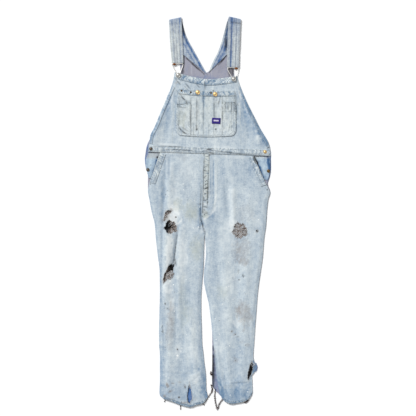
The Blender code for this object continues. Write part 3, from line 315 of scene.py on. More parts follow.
# Shade marks: painted shade in creases, along seams and in gaps, and the dark of a few paint specks
SHADE_MARKS = read_off("x y wide tall lean amount", [
    (175.9, 217.2, 0.7, 0.8, 0, 0.6), (243.1, 275.6, 0.55, 2.3, -6, 0.55),
    (238.4, 271, 0.8, 2.6, 4, 0.26), (238.9, 279.6, 0.8, 1, 0, 0.34),
    (233, 278, 0.6, 1.4, -20, 0.26), (165.3, 303.6, 0.7, 1.5, -25, 0.6),
    (163, 331, 0.6, 2.4, -6, 0.45), (162.2, 326.5, 0.5, 1.5, 15, 0.34),
    (167.2, 308.5, 0.5, 1.2, 0, 0.26), (179, 397, 0.9, 1, 0, 0.42), (185, 387, 0.8, 1.4, -20, 0.34),
    (174.7, 247, 2, 17, 6, 0.18), (254.7, 160.6, 1.1, 4, -22, 0.6), (170, 275.5, 3, 4.2, 34, 0.42),
    (165.6, 217.4, 1.2, 3.6, 24, 0.34), (175.4, 249, 0.6, 15, 8, 0.34),
    (204.9, 85.5, 0.5, 4.5, 0, 0.4), (186, 88, 0.6, 4, -40, 0.26), (175.6, 262, 1.1, 4, -10, 0.34),
    (200.6, 208, 0.7, 22, 2, 0.38), (202.2, 223.5, 0.7, 5.5, -14, 0.6),
    (204.9, 232.5, 0.6, 3, -10, 0.42), (207.6, 190, 0.6, 12, 0, 0.36),
    (202.8, 208, 0.6, 11, 5, 0.4), (206, 181, 2, 0.5, -30, 0.5), (205.6, 184.6, 2, 0.5, -34, 0.55),
    (206.2, 188.2, 2.2, 0.6, -30, 0.52), (205.6, 176.4, 1.8, 0.5, -30, 0.42),
    (205.6, 170.8, 1.8, 0.45, 20, 0.42), (206, 166.4, 1.6, 0.45, -25, 0.36),
    (205, 193.6, 1.8, 0.5, -30, 0.42), (205.2, 200.6, 2.2, 0.5, 12, 0.5),
    (205.4, 206.9, 2.8, 0.6, 14, 0.5), (207.6, 203.4, 0.5, 3, 10, 0.34),
    (203.3, 180, 0.6, 28, 1, 0.34), (200, 204, 2.4, 0.7, 0, 0.3), (206, 213.3, 3, 0.6, -10, 0.28),
    (174, 146.6, 12, 0.45, 3, 0.42), (171, 149.6, 11, 0.45, 3, 0.34),
    (185, 150.3, 9, 0.55, 3, 0.46), (222, 151.8, 11, 0.5, 6, 0.34), (241, 154.4, 12, 0.5, 6, 0.38),
    (208, 149.6, 5, 0.6, -18, 0.44), (209.5, 152.6, 5, 0.6, 14, 0.4),
    (210, 155.4, 4, 0.5, -20, 0.34), (231.5, 107.4, 0.6, 5, 0, 0.4), (228, 108.4, 0.4, 5, 0, 0.34),
    (225.4, 107, 0.4, 4.6, 0, 0.34), (234.4, 107, 0.5, 4.6, 0, 0.36), (236.6, 106, 0.5, 11, 0, 0.3),
    (230.5, 103.2, 6, 0.5, 0, 0.32), (230.5, 111.8, 6, 0.4, 0, 0.24), (182, 107.4, 4, 0.5, 4, 0.36),
    (184.5, 99.6, 3.6, 0.5, 34, 0.34), (181.8, 130.6, 0.6, 4, -52, 0.42),
    (179.4, 127.2, 0.5, 3.4, -30, 0.38), (183.8, 132.8, 0.5, 3.4, -66, 0.34),
    (196.7, 129.6, 0.9, 0.8, 0, 0.6), (215.6, 129.2, 1, 0.8, 0, 0.6), (208.6, 130, 0.4, 6, 0, 0.26),
    (219.5, 100, 0.6, 4.5, 14, 0.34), (193.6, 130, 0.4, 6, 0, 0.3), (229.6, 126, 0.4, 6, 12, 0.26),
    (223.6, 128.2, 0.9, 0.6, 30, 0.36), (213.4, 90.8, 0.9, 0.8, 0, 0.4),
    (190.6, 113, 0.5, 21, 0, 0.32), (196.9, 112, 0.5, 18, 0, 0.34), (203.3, 114, 0.4, 22, 0, 0.3),
    (214.2, 112, 0.5, 20, 0, 0.3), (222.4, 118, 0.5, 16, 0, 0.32),
    (182.5, 97.5, 0.6, 6.5, -40, 0.34), (186.4, 103, 0.8, 2.4, -30, 0.34),
    (180.4, 104.5, 3.6, 0.5, 0, 0.34), (178.6, 82.6, 0.8, 3.4, -42, 0.36),
    (187.8, 86.2, 0.7, 4.2, -40, 0.3), (198.2, 86.2, 0.6, 3.2, -44, 0.26),
    (184.5, 129, 0.6, 6, -58, 0.26),
])

# Marks on the inside of the back, which shows in the neck, the rips and past the left leg
BACK_INDIGO = read_off("x y wide tall lean amount", [
    (189.6, 392, 4, 24, 0, 0.85), (255, 366, 3.4, 8, 14, 0.75), (146, 150, 3.5, 16, 0, 0.6),
    (269.5, 160, 4.5, 22, 0, 0.8), (218.5, 388, 3, 10, 0, 0.34), (204.6, 79, 22, 3, 0, 0.22),
    (180, 64, 4, 14, 0, 0.14), (205, 74, 2, 6, 0, 0.16), (213.6, 370, 3, 28, 0, 0.4),
])
# Back shade: painted shadow, near-black in the rips, and along the straps' edges and the left leg's
# edge
BACK_SHADE = read_off("x y wide tall lean amount", [
    (253.2, 359.8, 1.4, 1, 30, 0.75), (256.2, 366.6, 0.7, 3, -6, 0.55),
    (254.6, 372.6, 1.8, 0.9, 20, 0.65), (253, 367.5, 0.6, 2, 10, 0.4),
    (170.5, 226.5, 10, 11.5, 0, 1), (168, 212.5, 6, 4, -30, 0.45), (168.5, 272, 7.5, 16, 28, 1),
    (239.6, 230.5, 10, 11, 0, 0.8), (257.1, 231, 4, 4, 0, 1), (249.8, 371, 3.6, 11, 12, 0.97),
    (193.2, 64.4, 0.8, 14, -48, 0.85), (223.2, 59.6, 0.8, 6.5, 41, 0.85),
    (183.6, 61, 1, 10, 0, 0.55), (188.9, 70, 0.5, 8, 0, 0.1), (229.4, 72, 0.9, 7, 0, 0.5),
    (232.4, 72, 0.9, 7, 0, 0.55), (189.4, 381, 1.6, 5, 0, 0.45), (190, 404.5, 4, 1.4, 0, 0.45),
    (212.9, 372, 2.4, 26, 0, 0.5), (252.5, 366, 2, 7, 10, 0.55), (213, 368, 1.2, 20, 0, 0.4),
    (181.5, 73, 3, 5, 0, 0.2), (182.6, 66, 1.6, 10, 0, 0.3), (231, 70, 1.6, 8, 0, 0.22),
    (194, 71.5, 0.4, 6, 0, 0.1), (219.5, 66, 5, 6, 0, 0.09), (145.4, 153, 1, 4.5, 14, 0.38),
])
BACK_PALE = read_off("x y wide tall lean amount", [
    (254.4, 364.5, 0.7, 1.6, 30, 0.7), (255.4, 369, 0.7, 1.2, -20, 0.6),
    (253.4, 362, 0.6, 1, 0, 0.5), (253.6, 371.5, 0.8, 0.8, 0, 0.45), (217, 68, 0.4, 7, 0, 0.3),
    (191.5, 70, 0.4, 6, 0, 0.24), (211.5, 72, 0.4, 5, 0, 0.24),
])
BACK_SOIL = read_off("x y wide tall lean amount", [
    (172.8, 224, 4, 5.5, 0, 0.55), (239, 229, 8, 8, 0, 0.3), (214.3, 372, 3, 24, 0, 0.08),
    (231, 71, 3.2, 5, 0, 0.24),
])

# Marks on the facings behind the pocket mouths, and in the straps' folds
FACING_INDIGO = read_off("x y wide tall lean amount", [
    (268.4, 161, 1.4, 10, -4, 0.9), (258.6, 166, 1.4, 5, -28, 0.6),
    (258.5, 157.5, 4, 2.4, 0, -0.14), (148.6, 160, 1.2, 6, 0, 0.16),
    (262.4, 174.5, 0.9, 5.5, -24, 0.45), (156.2, 162.4, 1.1, 3.4, 20, 0.6),
    (153.6, 170.5, 0.8, 5, 18, 0.34), (147.4, 155, 1.2, 2.6, 12, 0.55),
    (264, 166, 2, 7, -10, -0.16), (149.5, 166, 2.4, 5, 0, -0.1),
])
FACING_SHADE = read_off("x y wide tall lean amount", [
    (255.8, 161.8, 1.5, 4.8, -26, 1), (157.5, 157.4, 0.9, 1, 20, 0.8),
    (259.6, 155.6, 4, 0.5, 0, 0.14), (268.4, 160, 0.9, 9, -4, 0.34),
    (258.6, 161.6, 2.2, 0.7, 0, 0.14), (150.6, 165, 1.2, 0.9, 0, 0.3), (270.4, 164, 0.5, 6, 0, 0.3),
])
STRAP_SHADE = read_off("x y wide tall lean amount", [
    (226.2, 43, 1.9, 8.5, 0, 0.62), (183.6, 30.6, 1.2, 7, -12, 0.5), (185.6, 39, 1.2, 5, -22, 0.22),
    (225.5, 44, 2.4, 4, 0, 0.14),
])

# Rips cut through the front: centre and half sizes in mm, lean in degrees, raggedness; then
# how many threads cross each, how far in they reach, how brown they are, between which angles
# they start, and how much the hole narrows upwards
RIP_COLUMNS = "x y across along lean ragged threads reach brown first last narrowing"
RIPS = {
    "r": columns(RIP_COLUMNS, [
        (-142, -58, 22, 23, 10, 0.16, 165, 0.60, 0.80, -125, 75, 0),
        (-151, -2, 6, 14, -62, 0.14, 60, 1.10, 0.85, 0, 360, 0),
        (-149, -229, 11, 37, -28, 0.15, 190, 1.05, 0.82, 165, 300, 0),
        (-69.5, -689, 7.5, 35, 0, 0.08, 14, 0.35, 0.10, 60, 120, 0.6),
    ]),
    "l": columns(RIP_COLUMNS, [
        (121, -71, 26, 28, 15, 0.12, 380, 1.25, 0.62, 0, 360, 0),
        (187, -73, 4, 5, 0, 0.05, 3, 0.30, 1.00, 0, 360, 0),
        (161, -602, 7, 33, -13, 0.10, 20, 0.35, 0.20, 0, 180, 0),
    ]),
}
# Loose threads that lie on the cloth beside those rips, in the same columns
FUZZ = {
    "r": columns(RIP_COLUMNS, [
        (-143.5, -240, 12, 17, -34, 0.14, 110, 0.95, 0.72, 0, 360, 0),
        (-161, -20, 5, 15, -24, 0.14, 44, 0.95, 0.90, 0, 360, 0),
    ]),
    "l": columns(RIP_COLUMNS, [
        (176, -578, 5, 8, 10, 0.10, 16, 0.90, 0.50, 0, 360, 0),
    ]),
}
RAGGED_LOBES = (3, 5, 8)


def monotone(table: Table, column: str, at: Array) -> Array:
    """A smooth curve through one column over the table's height, which never overshoots.

    Args:
        table: a table with a height column.
        column: the column to follow.
        at: heights to read it at.

    Returns:
        The column's value at each height.
    """
    x, y = table["height"], table[column]
    step, slope = np.diff(x), np.diff(y) / np.diff(x)
    w1, w2 = 2 * step[1:] + step[:-1], step[1:] + 2 * step[:-1]
    turning = slope[:-1] * slope[1:] <= 0
    safe = np.where(turning, 1.0, slope[:-1]), np.where(turning, 1.0, slope[1:])
    inner = np.where(turning, 0.0, (w1 + w2) / (w1 / safe[0] + w2 / safe[1]))
    tangent = np.concatenate([[slope[0]], inner, [slope[-1]]])
    at = np.clip(np.asarray(at, float), x[0], x[-1])
    i = np.clip(np.searchsorted(x, at, side="right") - 1, 0, len(x) - 2)
    t, h = (at - x[i]) / step[i], step[i]
    return (
        y[i] * (1 + 2 * t) * (1 - t) ** 2
        + tangent[i] * h * t * (1 - t) ** 2
        + y[i + 1] * t * t * (3 - 2 * t)
        + tangent[i + 1] * h * t * t * (t - 1)
    )


def smooth(t: Array) -> Array:
    """0 to 1 with level ends."""
    t = np.clip(t, 0.0, 1.0)
    return t * t * (3 - 2 * t)


def bell(offset: Array, width: float) -> Array:
    """A bell curve: e to the power of minus the square of an offset over a width."""
    return np.exp(-((offset / width) ** 2))


def unit(vectors: Array) -> Array:
    """Vectors of the same directions with a length of 1."""
    return vectors / np.maximum(np.linalg.norm(vectors, axis=-1, keepdims=True), 1e-9)


def beside(line: Array) -> Array:
    """Unit vectors to the right of a flat line's points."""
    return unit(np.gradient(line, axis=0)[:, ::-1] * (1, -1))


def from_photo(pixels: Sequence[Sequence[float]]) -> Array:
    """The places in millimetres of pixels of the photo."""
    return (np.array(pixels) - (PHOTO_X, PHOTO_Y)) * (PIXEL, -PIXEL)


def rounded(points: Array, steps: int = 6) -> Array:
    """A Catmull-Rom curve: cubic pieces that pass through every point.

    Args:
        points: points of any dimension.
        steps: points of the curve for each of theirs.

    Returns:
        The curve's points.
    """
    p = np.vstack([2 * points[0] - points[1], points, 2 * points[-1] - points[-2]])
    a, b, c, d = (p[k : len(p) - 3 + k, None] for k in range(4))
    t = (np.arange(steps) / steps)[None, :, None]
    curve = 0.5 * (
        2 * b + (c - a) * t + (2 * a - 5 * b + 4 * c - d) * t**2 + (3 * b - a - 3 * c + d) * t**3
    )
    return np.vstack([curve.reshape(-1, points.shape[1]), points[-1:]])


def spaced(line: Array, count: int) -> Array:
    """A line's points moved to equal distances along it.

    Args:
        line: points of any dimension.
        count: how many to place.

    Returns:
        The new points.
    """
    length = np.concatenate([[0], np.cumsum(np.linalg.norm(np.diff(line, axis=0), axis=1))])
    at = np.linspace(0, length[-1], count)
    return np.column_stack([np.interp(at, length, column) for column in line.T])


def length_of(line: Array) -> float:
    """The length of a line of points."""
    return float(np.linalg.norm(np.diff(line, axis=0), axis=1).sum())


def xy(table: Table) -> Array:
    """A table's x and y as points."""
    return np.column_stack([table["x"], table["y"]])


def waist_height(x: Array) -> Array:
    """The waist seam, which drops a little towards the wearer's left."""
    return 219.0 - 0.033 * np.asarray(x, float)


def up_edge(table: Table, column: str, low: float, high: float, shift: float = 0.0) -> Array:
    """Points every 3 mm up an edge, from one height to another."""
    heights = np.linspace(low, high, max(2, round((high - low) / 3)))
    return np.column_stack([monotone(table, column, heights) + shift, heights])


def patch(left: Array, right: Array, low: Array, high: Array, step: float) -> Array:
    """A grid of points between four edges that share their corners.

    It is a Coons patch: the two ruled surfaces between opposite edges, added, less the flat
    patch through the four corners.

    Args:
        left, right: edges from the bottom up.
        low, high: edges from left to right.
        step: how far the points stand apart, in millimetres.

    Returns:
        An array of rows from the bottom up, of columns from left to right, of x and y.
    """
    rows = max(3, round(max(length_of(left), length_of(right)) / step) + 1)
    cols = max(3, round(max(length_of(low), length_of(high)) / step) + 1)
    left, right = spaced(left, rows)[:, None], spaced(right, rows)[:, None]
    low, high = spaced(low, cols)[None], spaced(high, cols)[None]
    u = np.linspace(0, 1, cols)[None, :, None]
    v = np.linspace(0, 1, rows)[:, None, None]
    flat = (1 - v) * ((1 - u) * low[:, :1] + u * low[:, -1:])
    flat = flat + v * ((1 - u) * high[:, :1] + u * high[:, -1:])
    return (1 - u) * left + u * right + (1 - v) * low + v * high - flat


def grain(x: Array, y: Array, across: float, along: float, seed: float) -> Array:
    """Value noise from -1 to 1: random heights on a lattice, blended by a smooth step.

    Args:
        x, y: places in millimetres.
        across, along: the lattice's spacing in x and y.
        seed: picks the random heights.

    Returns:
        The noise at each place.
    """
    u, v = x / across + seed * 0.37, y / along - seed * 0.61
    i, j = np.floor(u), np.floor(v)
    fu, fv = smooth(u - i), smooth(v - j)

    def height(a: Array, b: Array) -> Array:
        """The random height of a corner of the lattice."""
        wave = np.sin(a * 12.9898 + b * 78.233 + seed * 3.17) * 43758.5453
        return (wave - np.floor(wave)) * 2 - 1

    low = height(i, j) * (1 - fu) + height(i + 1, j) * fu
    high = height(i, j + 1) * (1 - fu) + height(i + 1, j + 1) * fu
    return low * (1 - fv) + high * fv


def layered(x: Array, y: Array, across: float, along: float, seed: float) -> Array:
    """Three octaves of grain, each half as large and half as strong as the one before.

    Args:
        x, y: places in millimetres.
        across, along: the first octave's spacing in x and y.
        seed: picks the random heights.

    Returns:
        The noise at each place, about -1 to 1.
    """
    total = grain(x, y, across, along, seed)
    total = total + 0.5 * grain(x, y, across / 2, along / 2, seed + 1)
    return (total + 0.25 * grain(x, y, across / 4, along / 4, seed + 2)) / 1.4


def ridges(table: Table, x: Array, y: Array) -> Array:
    """The sum of the soft ridges and troughs of a table, each a bell curve across its line.

    Args:
        table: both ends, width and rise of each ridge.
        x, y: places in millimetres.

    Returns:
        The height at each place.
    """
    total = np.zeros_like(x)
    for x1, y1, x2, y2, width, rise in zip(*table.values()):
        length = math.hypot(x2 - x1, y2 - y1)
        ux, uy = (x2 - x1) / length, (y2 - y1) / length
        s = ((x - x1) * ux + (y - y1) * uy) / length
        side = (y - y1) * ux - (x - x1) * uy
        fade = smooth((s + 0.25) / 0.35) * smooth((1.25 - s) / 0.35)
        total += rise * fade * bell(side, width)
    return total


def spots(table: Table, x: Array, y: Array, ragged: float = 0.3) -> Array:
    """The sum of soft ovals of a table that lean clockwise, their rims moved by noise.

    Args:
        table: places, half sizes, lean and amount of each mark.
        x, y: places to read it at, in millimetres.
        ragged: how far the noise moves a rim, as a share of its size.

    Returns:
        The strength of the marks at each place.
    """
    noise = grain(x, y, 7, 9, 41) * ragged + grain(x, y, 2.8, 3.4, 42) * ragged * 0.5
    total = np.zeros_like(x)
    for cx, cy, wide, tall, lean, amount in zip(*table.values()):
        c, s = math.cos(math.radians(lean)), -math.sin(math.radians(lean))
        dx, dy = x - cx, y - cy
        far = np.hypot((dx * c + dy * s) / wide, (dy * c - dx * s) / tall)
        total += amount * smooth((1.35 - far - noise) / 0.8)
    return total


class Lay:
    """How the front lies: heights in millimetres that all its pieces share."""

    def outside(self, x: Array, y: Array) -> Array:
        """Distance from the nearer side seam.

        Args:
            x, y: places in millimetres.

        Returns:
            The distance, under 0 past the seam.
        """
        above = y > BIB_STARTS
        right = np.where(above, monotone(BIB_SIDES, "right", y), monotone(BODY_SIDES, "right", y))
        left = np.where(above, monotone(BIB_SIDES, "left", y), monotone(BODY_SIDES, "left", y))
        return np.minimum(x - right, left - x)

    def inside(self, x: Array, y: Array) -> Array:
        """Distance from the inseam of the leg that a place is on."""
        right, left = monotone(INSEAMS, "right", y), monotone(INSEAMS, "left", y)
        return np.where(x < (right + left) / 2, right - x, x - left)

    def lift(self, x: Array, y: Array) -> Array:
        """How free of its seams the front is.

        Args:
            x, y: places in millimetres.

        Returns:
            0 at the side seams and inseams, 1 from SIDE_ROLL inside them.
        """
        parted = smooth((LEGS_PART_BELOW - y) / LEGS_PART_OVER)
        near_inseam = parted * (1 - smooth(self.inside(x, y) / SIDE_ROLL))
        return smooth(self.outside(x, y) / SIDE_ROLL) * (1 - near_inseam)

    def relief(self, x: Array, y: Array) -> Array:
        """Lengthwise waves, crumples and sharp creases, before they fade out at the seams."""
        waves = 0.62 * layered(x, y, 30, 150, 3) + 0.34 * layered(x, y, 15, 22, 9)
        return waves + ridges(CREASES, x, y)

    def base(self, x: Array, y: Array) -> Array:
        """The underside of the front panels: the puff, the folds and the relief over the seams.

        Args:
            x, y: places in millimetres.

        Returns:
            The height, which never comes under LEAST_RISE where the front is free.
        """
        rise = np.maximum(monotone(PUFF, "rise", y) + ridges(FOLDS, x, y), LEAST_PUFF)
        relief = np.maximum(self.relief(x, y), -rise + LEAST_RISE)
        return SEAM_LEVEL + self.lift(x, y) * (rise + relief)

    def top(self, x: Array, y: Array, layers: int = 0) -> Array:
        """The upper side of the front, with some folded layers on it."""
        return self.base(x, y) + DENIM + layers * (SEAM_GAP + FOLDED)


class Side(Enum):
    """A side of the wearer, by the last letter of its pieces' names."""

    RIGHT = "r"
    LEFT = "l"

    @property
    def sign(self) -> int:
        """The direction of this side along X."""
        return self.pick(-1, 1)

    @property
    def column(self) -> str:
        """The name of this side's column in the tables of edges."""
        return self.pick("right", "left")

    def pick(self, right: Any, left: Any) -> Any:
        """The one of two things that belongs to this side."""
        return right if self is Side.RIGHT else left


def aging_and_shade_of(lay: Lay, x: Array, y: Array, indigo: float) -> Array:
    """How the front's cloth has aged at each place, with painted shade and painted highlights.

    It fades on high places and keeps its dye in low ones, which is partly real fading and partly
    painted highlight on the ridges and painted shade in the troughs. It keeps its dye along the
    side seams, and carries the marks of the tables.

    Args:
        lay: the heights of the front.
        x, y: places in millimetres.
        indigo: how much dye this piece keeps on the whole.

    Returns:
        Indigo, soil, paleness and shade, each 0 to 1, in the last axis. The paleness is bleached
        threads and painted highlights; the shade is painted shade in creases, seams and gaps, and
        the dark of a few paint specks.
    """
    dye = indigo + 0.06 * layered(x, y, 26, 100, 11) + 0.08 * layered(x, y, 9, 14, 12)
    # Less dye on the relief's ridges and more in its troughs: real fading, and painted highlight
    # and shade
    dye = dye - 0.09 * lay.relief(x, y) - 0.02 * ridges(FOLDS, x, y)
    dye = dye + 0.13 * (1 - smooth(lay.outside(x, y) / 12)) + 0.8 * spots(INDIGO_MARKS, x, y)
    parted = smooth((LEGS_PART_BELOW - y) / LEGS_PART_OVER)
    dye = dye + 0.16 * parted * (1 - smooth(lay.inside(x, y) / 11))
    rough = 1 + 0.5 * layered(x, y, 6, 7, 13)
    pale = 0.70 * spots(PALE_MARKS, x, y) * rough
    soil = 0.62 * spots(SOIL_MARKS, x, y) * rough
    # Painted shade: the shade marks, and darkening in the troughs of the relief
    shade = 1.25 * spots(SHADE_MARKS, x, y) + 0.10 * smooth(-lay.relief(x, y) / 1.6)
    return np.clip(np.stack([dye - 0.45 * pale, soil, pale, shade], -1), 0, 1)


def olive_of(x: Array, y: Array) -> Array:
    """Green-grey grime at each place."""
    return np.clip(1.4 * spots(OLIVE_MARKS, x, y) * (1 + 0.5 * layered(x, y, 8, 9, 15)), 0, 1)


class Rip:
    """One ragged hole through a front leg, or a patch of fuzz where it is not cut."""

    def __init__(self, row: Sequence[float], number: int, cut: bool = True) -> None:
        """Takes its sizes from a table.

        Args:
            row: the values of RIP_COLUMNS.
            number: its number on that leg, which varies its rim.
            cut: whether it is a hole.
        """
        self.cut = cut
        self.x, self.y, self.across, self.along, lean, self.ragged = row[:6]
        self.threads, self.reach, self.brown = int(row[6]), row[7], row[8]
        self.first, self.last = math.radians(row[9]), math.radians(row[10])
        self.cos, self.sin = math.cos(math.radians(lean)), math.sin(math.radians(lean))
        self.narrowing = row[11]
        self.number = number

    def radius(self, turn: Array) -> Array:
        """The rim's distance at each angle, as a share of an even oval's."""
        wave = sum(np.sin(k * turn + self.number * 1.7 + k) for k in RAGGED_LOBES)
        return 1 + self.ragged * wave / 2 + 0.05 * np.sin(17 * turn) + 0.04 * np.sin(29 * turn)

    def share(self, x: Array, y: Array) -> Array:
        """Distance from the middle as a share of the rim's.

        Args:
            x, y: places in millimetres.

        Returns:
            The share, which is under 1 in the hole.
        """
        dx, dy = x - self.x, y - self.y
        along = (dy * self.cos - dx * self.sin) / self.along
        width = self.across * (1 - self.narrowing * np.clip(along, -1, 1))
        across = (dx * self.cos + dy * self.sin) / width
        return np.hypot(across, along) / self.radius(np.arctan2(along, across))

    def at(self, turn: Array, share: Array) -> Array:
        """Places in or round the hole.

        Args:
            turn: angles, in radians.
            share: distances from the middle as shares of the rim's.

        Returns:
            x and y in the last axis.
        """
        rise = np.sin(turn) * self.radius(turn) * share
        along = self.along * rise
        width = self.across * (1 - self.narrowing * np.clip(rise, -1, 1))
        across = width * np.cos(turn) * self.radius(turn) * share
        return np.stack([
            across * self.cos - along * self.sin + self.x,
            across * self.sin + along * self.cos + self.y,
        ], -1)


def rips_of(side: Side, cut: bool = True) -> list[Rip]:
    """The rips of one leg, or its patches of fuzz."""
    table = (RIPS if cut else FUZZ)[side.value]
    return [Rip(row, n, cut) for n, row in enumerate(zip(*table.values()))]


def linear(code: str) -> tuple[float, float, float, float]:
    """A colour of the screen as the linear colour that a shader takes.

    Args:
        code: the sRGB colour as #rrggbb.

    Returns:
        Linear red, green and blue, and full cover.
    """
    parts = [int(code[k : k + 2], 16) / 255 for k in (1, 3, 5)]
    red, green, blue = (
        part / 12.92 if part <= 0.04045 else ((part + 0.055) / 1.055) ** 2.4 for part in parts
    )
    return red, green, blue, 1.0


def add(
    tree: Tree, kind: str, inputs: dict[str | int, Value] | None = None, **settings: Any
) -> bpy.types.Node:
    """Adds a node.

    Args:
        tree: the node tree.
        kind: the node's type.
        inputs: for each input, by name or number, a socket to link or a value to set.
        settings: the node's own settings.

    Returns:
        The node.
    """
    made = tree.nodes.new(kind)
    for name, value in settings.items():
        setattr(made, name, value)
    for name, value in (inputs or {}).items():
        if isinstance(value, bpy.types.NodeSocket):
            tree.links.new(value, made.inputs[name])
        else:
            made.inputs[name].default_value = value
    return made


# Settings of the node that multiplies and adds: free, and kept between 0 and 1
WEIGH = {"operation": "MULTIPLY_ADD"}
CLAMPED = {"operation": "MULTIPLY_ADD", "use_clamp": True}


@dataclass(frozen=True)
class Finish:
    """A surface, as one material that all the pieces in it share.

    Attributes:
        name: the material's name.
    """

    name: str

    def material(self) -> bpy.types.Material:
        """The material of this name, made when it is first asked for.

        Returns:
            The material.
        """
        if self.name in bpy.data.materials:
            return bpy.data.materials[self.name]
        made = bpy.data.materials.new(self.name)
        made.use_nodes = True
        tree = made.node_tree
        place = add(tree, "ShaderNodeTexCoord").outputs["Object"]
        self.dress(tree, tree.nodes["Principled BSDF"], place)
        return made

    def dress(self, tree: Tree, shader: bpy.types.Node, place: Socket) -> None:
        """Links the finish's pattern into the shader: each kind has its own."""
        raise NotImplementedError


@dataclass(frozen=True)
class Denim(Finish):
    """Cotton twill: indigo warp that washes out to white, over a white weft.

    The warp's slubs run along Y. The twill's own lines stand 0.8 mm apart, too fine to see from
    here, so the speckle that they leave is drawn at 4 mm.

    Attributes:
        pale, indigo: the cloth washed out and with all its dye left.
        soil, olive, paint, dark: dirt, grime, bleached threads with painted highlights, and
        painted shade with a few dark paint specks.
        speckle: how strongly single threads differ.
    """

    pale: str
    indigo: str
    soil: str = "#8d8681"
    olive: str = "#a3a68e"
    paint: str = "#e9ecec"
    dark: str = "#17171c"
    speckle: float = 0.34

    def dress(self, tree: Tree, shader: bpy.types.Node, place: Socket) -> None:
        """Mixes the dye over the white, then bleached threads and painted highlights, grime, soil
        and painted shade over it.

        The share of each is its own attribute plus noise, less a threshold, between 0 and 1.

        Args:
            tree: the material's nodes.
            shader: its Principled BSDF.
            place: Object coordinates.
        """
        wear_and_shade = add(tree, "ShaderNodeAttribute", attribute_name="wear_and_shade")
        grime = add(tree, "ShaderNodeAttribute", attribute_name="olive")
        parts = add(tree, "ShaderNodeSeparateColor", {0: wear_and_shade.outputs["Color"]}).outputs
        warp = add(tree, "ShaderNodeMapping", {0: place, "Scale": (1.0, 0.12, 1.0)}).outputs[0]
        weft = add(tree, "ShaderNodeMapping", {0: place, "Scale": (0.22, 1.0, 1.0)}).outputs[0]
        mottle, slubs, threads, dots = (
            add(tree, "ShaderNodeTexNoise", {
                "Vector": at, "Scale": 1 / size, "Detail": detail, "Roughness": rough,
            }).outputs[0]
            for at, size, detail, rough in (
                (place, 0.015, 5.0, 0.68), (warp, 0.0042, 2.0, 0.5), (weft, 0.0036, 2.0, 0.5),
                (place, 0.0041, 2.0, 0.6),
            )
        )
        one = self.speckle
        dye, dirt, bleach_and_highlight, bumps = (
            self.summed(tree, terms) for terms in (
                (parts[0], (mottle, 0.75), (slubs, one), (threads, one * 0.7), (dots, one * 1.6)),
                (parts[1], (mottle, 0.4), (dots, 0.3)),
                (parts[2], (dots, 0.5)),
                (dots, (threads, 0.4), (slubs, 0.6)),
            )
        )
        middle = -0.5 * (0.75 + 3.3 * self.speckle)
        dye, bleach_and_highlight, dirt = (
            add(tree, "ShaderNodeMath", {0: value, 1: weight, 2: less}, **CLAMPED).outputs[0]
            for value, weight, less in ((dye, 1.0, middle), (bleach_and_highlight, 1.25, -0.42),
                                        (dirt, 1.1, -0.40))
        )
        colour = linear(self.pale)
        # Bleached threads and painted highlights, grime, soil, then painted shade from the alpha
        for share, over in (
            (dye, self.indigo), (bleach_and_highlight, self.paint), (grime.outputs["Fac"], self.olive),
            (dirt, self.soil), (wear_and_shade.outputs["Alpha"], self.dark),
        ):
            inputs = {0: share, 6: colour, 7: linear(over)}
            colour = add(tree, "ShaderNodeMix", inputs, data_type="RGBA").outputs[2]
        tree.links.new(colour, shader.inputs["Base Color"])
        bump = add(tree, "ShaderNodeBump", {
            "Height": bumps, "Strength": 0.35, "Distance": 0.0005,
        })
        tree.links.new(bump.outputs[0], shader.inputs["Normal"])
        shader.inputs["Roughness"].default_value = 0.93
        shader.inputs["Specular IOR Level"].default_value = 0.18
        shader.inputs["Sheen Weight"].default_value = 0.08

    def summed(self, tree: Tree, terms: Sequence) -> Socket:
        """A sum of noises by their weights.

        Args:
            tree: the material's nodes.
            terms: the socket to start from, then each noise with its weight.

        Returns:
            The sum's socket.
        """
        total, *rest = terms
        for noise, weight in rest:
            inputs = {0: noise, 1: weight, 2: total}
            total = add(tree, "ShaderNodeMath", inputs, **WEIGH).outputs[0]
        return total


@dataclass(frozen=True)
class Metal(Finish):
    """Stamped or drawn metal, dulled by use, with dark or rusty patches in its plating.

    Attributes:
        clean, dull: the colour where it is worn bright and where it has tarnished.
        roughness: where it is clean.
        patch_size: of the tarnished patches, in metres.
        patches: how much of it they cover: 0 for little, 1 for nearly all.
    """

    clean: str
    dull: str
    roughness: float
    patch_size: float = 0.003
    patches: float = 0.5

    def dress(self, tree: Tree, shader: bpy.types.Node, place: Socket) -> None:
        """Lets noise choose, with sharp limits, where it is dull, rougher and less metallic.

        Args:
            tree: the material's nodes.
            shader: its Principled BSDF.
            place: Object coordinates.
        """
        noise = add(tree, "ShaderNodeTexNoise", {
            "Vector": place, "Scale": 1 / self.patch_size, "Detail": 3.0,
        }).outputs[0]
        inputs = {0: noise, 1: 4.0, 2: self.patches - 2.4}
        worn = add(tree, "ShaderNodeMath", inputs, **CLAMPED).outputs[0]
        inputs = {0: worn, 6: linear(self.clean), 7: linear(self.dull)}
        colour = add(tree, "ShaderNodeMix", inputs, data_type="RGBA").outputs[2]
        tree.links.new(colour, shader.inputs["Base Color"])
        for name, weight, clean in (("Roughness", 0.25, self.roughness), ("Metallic", -0.45, 1.0)):
            value = add(tree, "ShaderNodeMath", {0: worn, 1: weight, 2: clean}, **WEIGH)
            tree.links.new(value.outputs[0], shader.inputs[name])


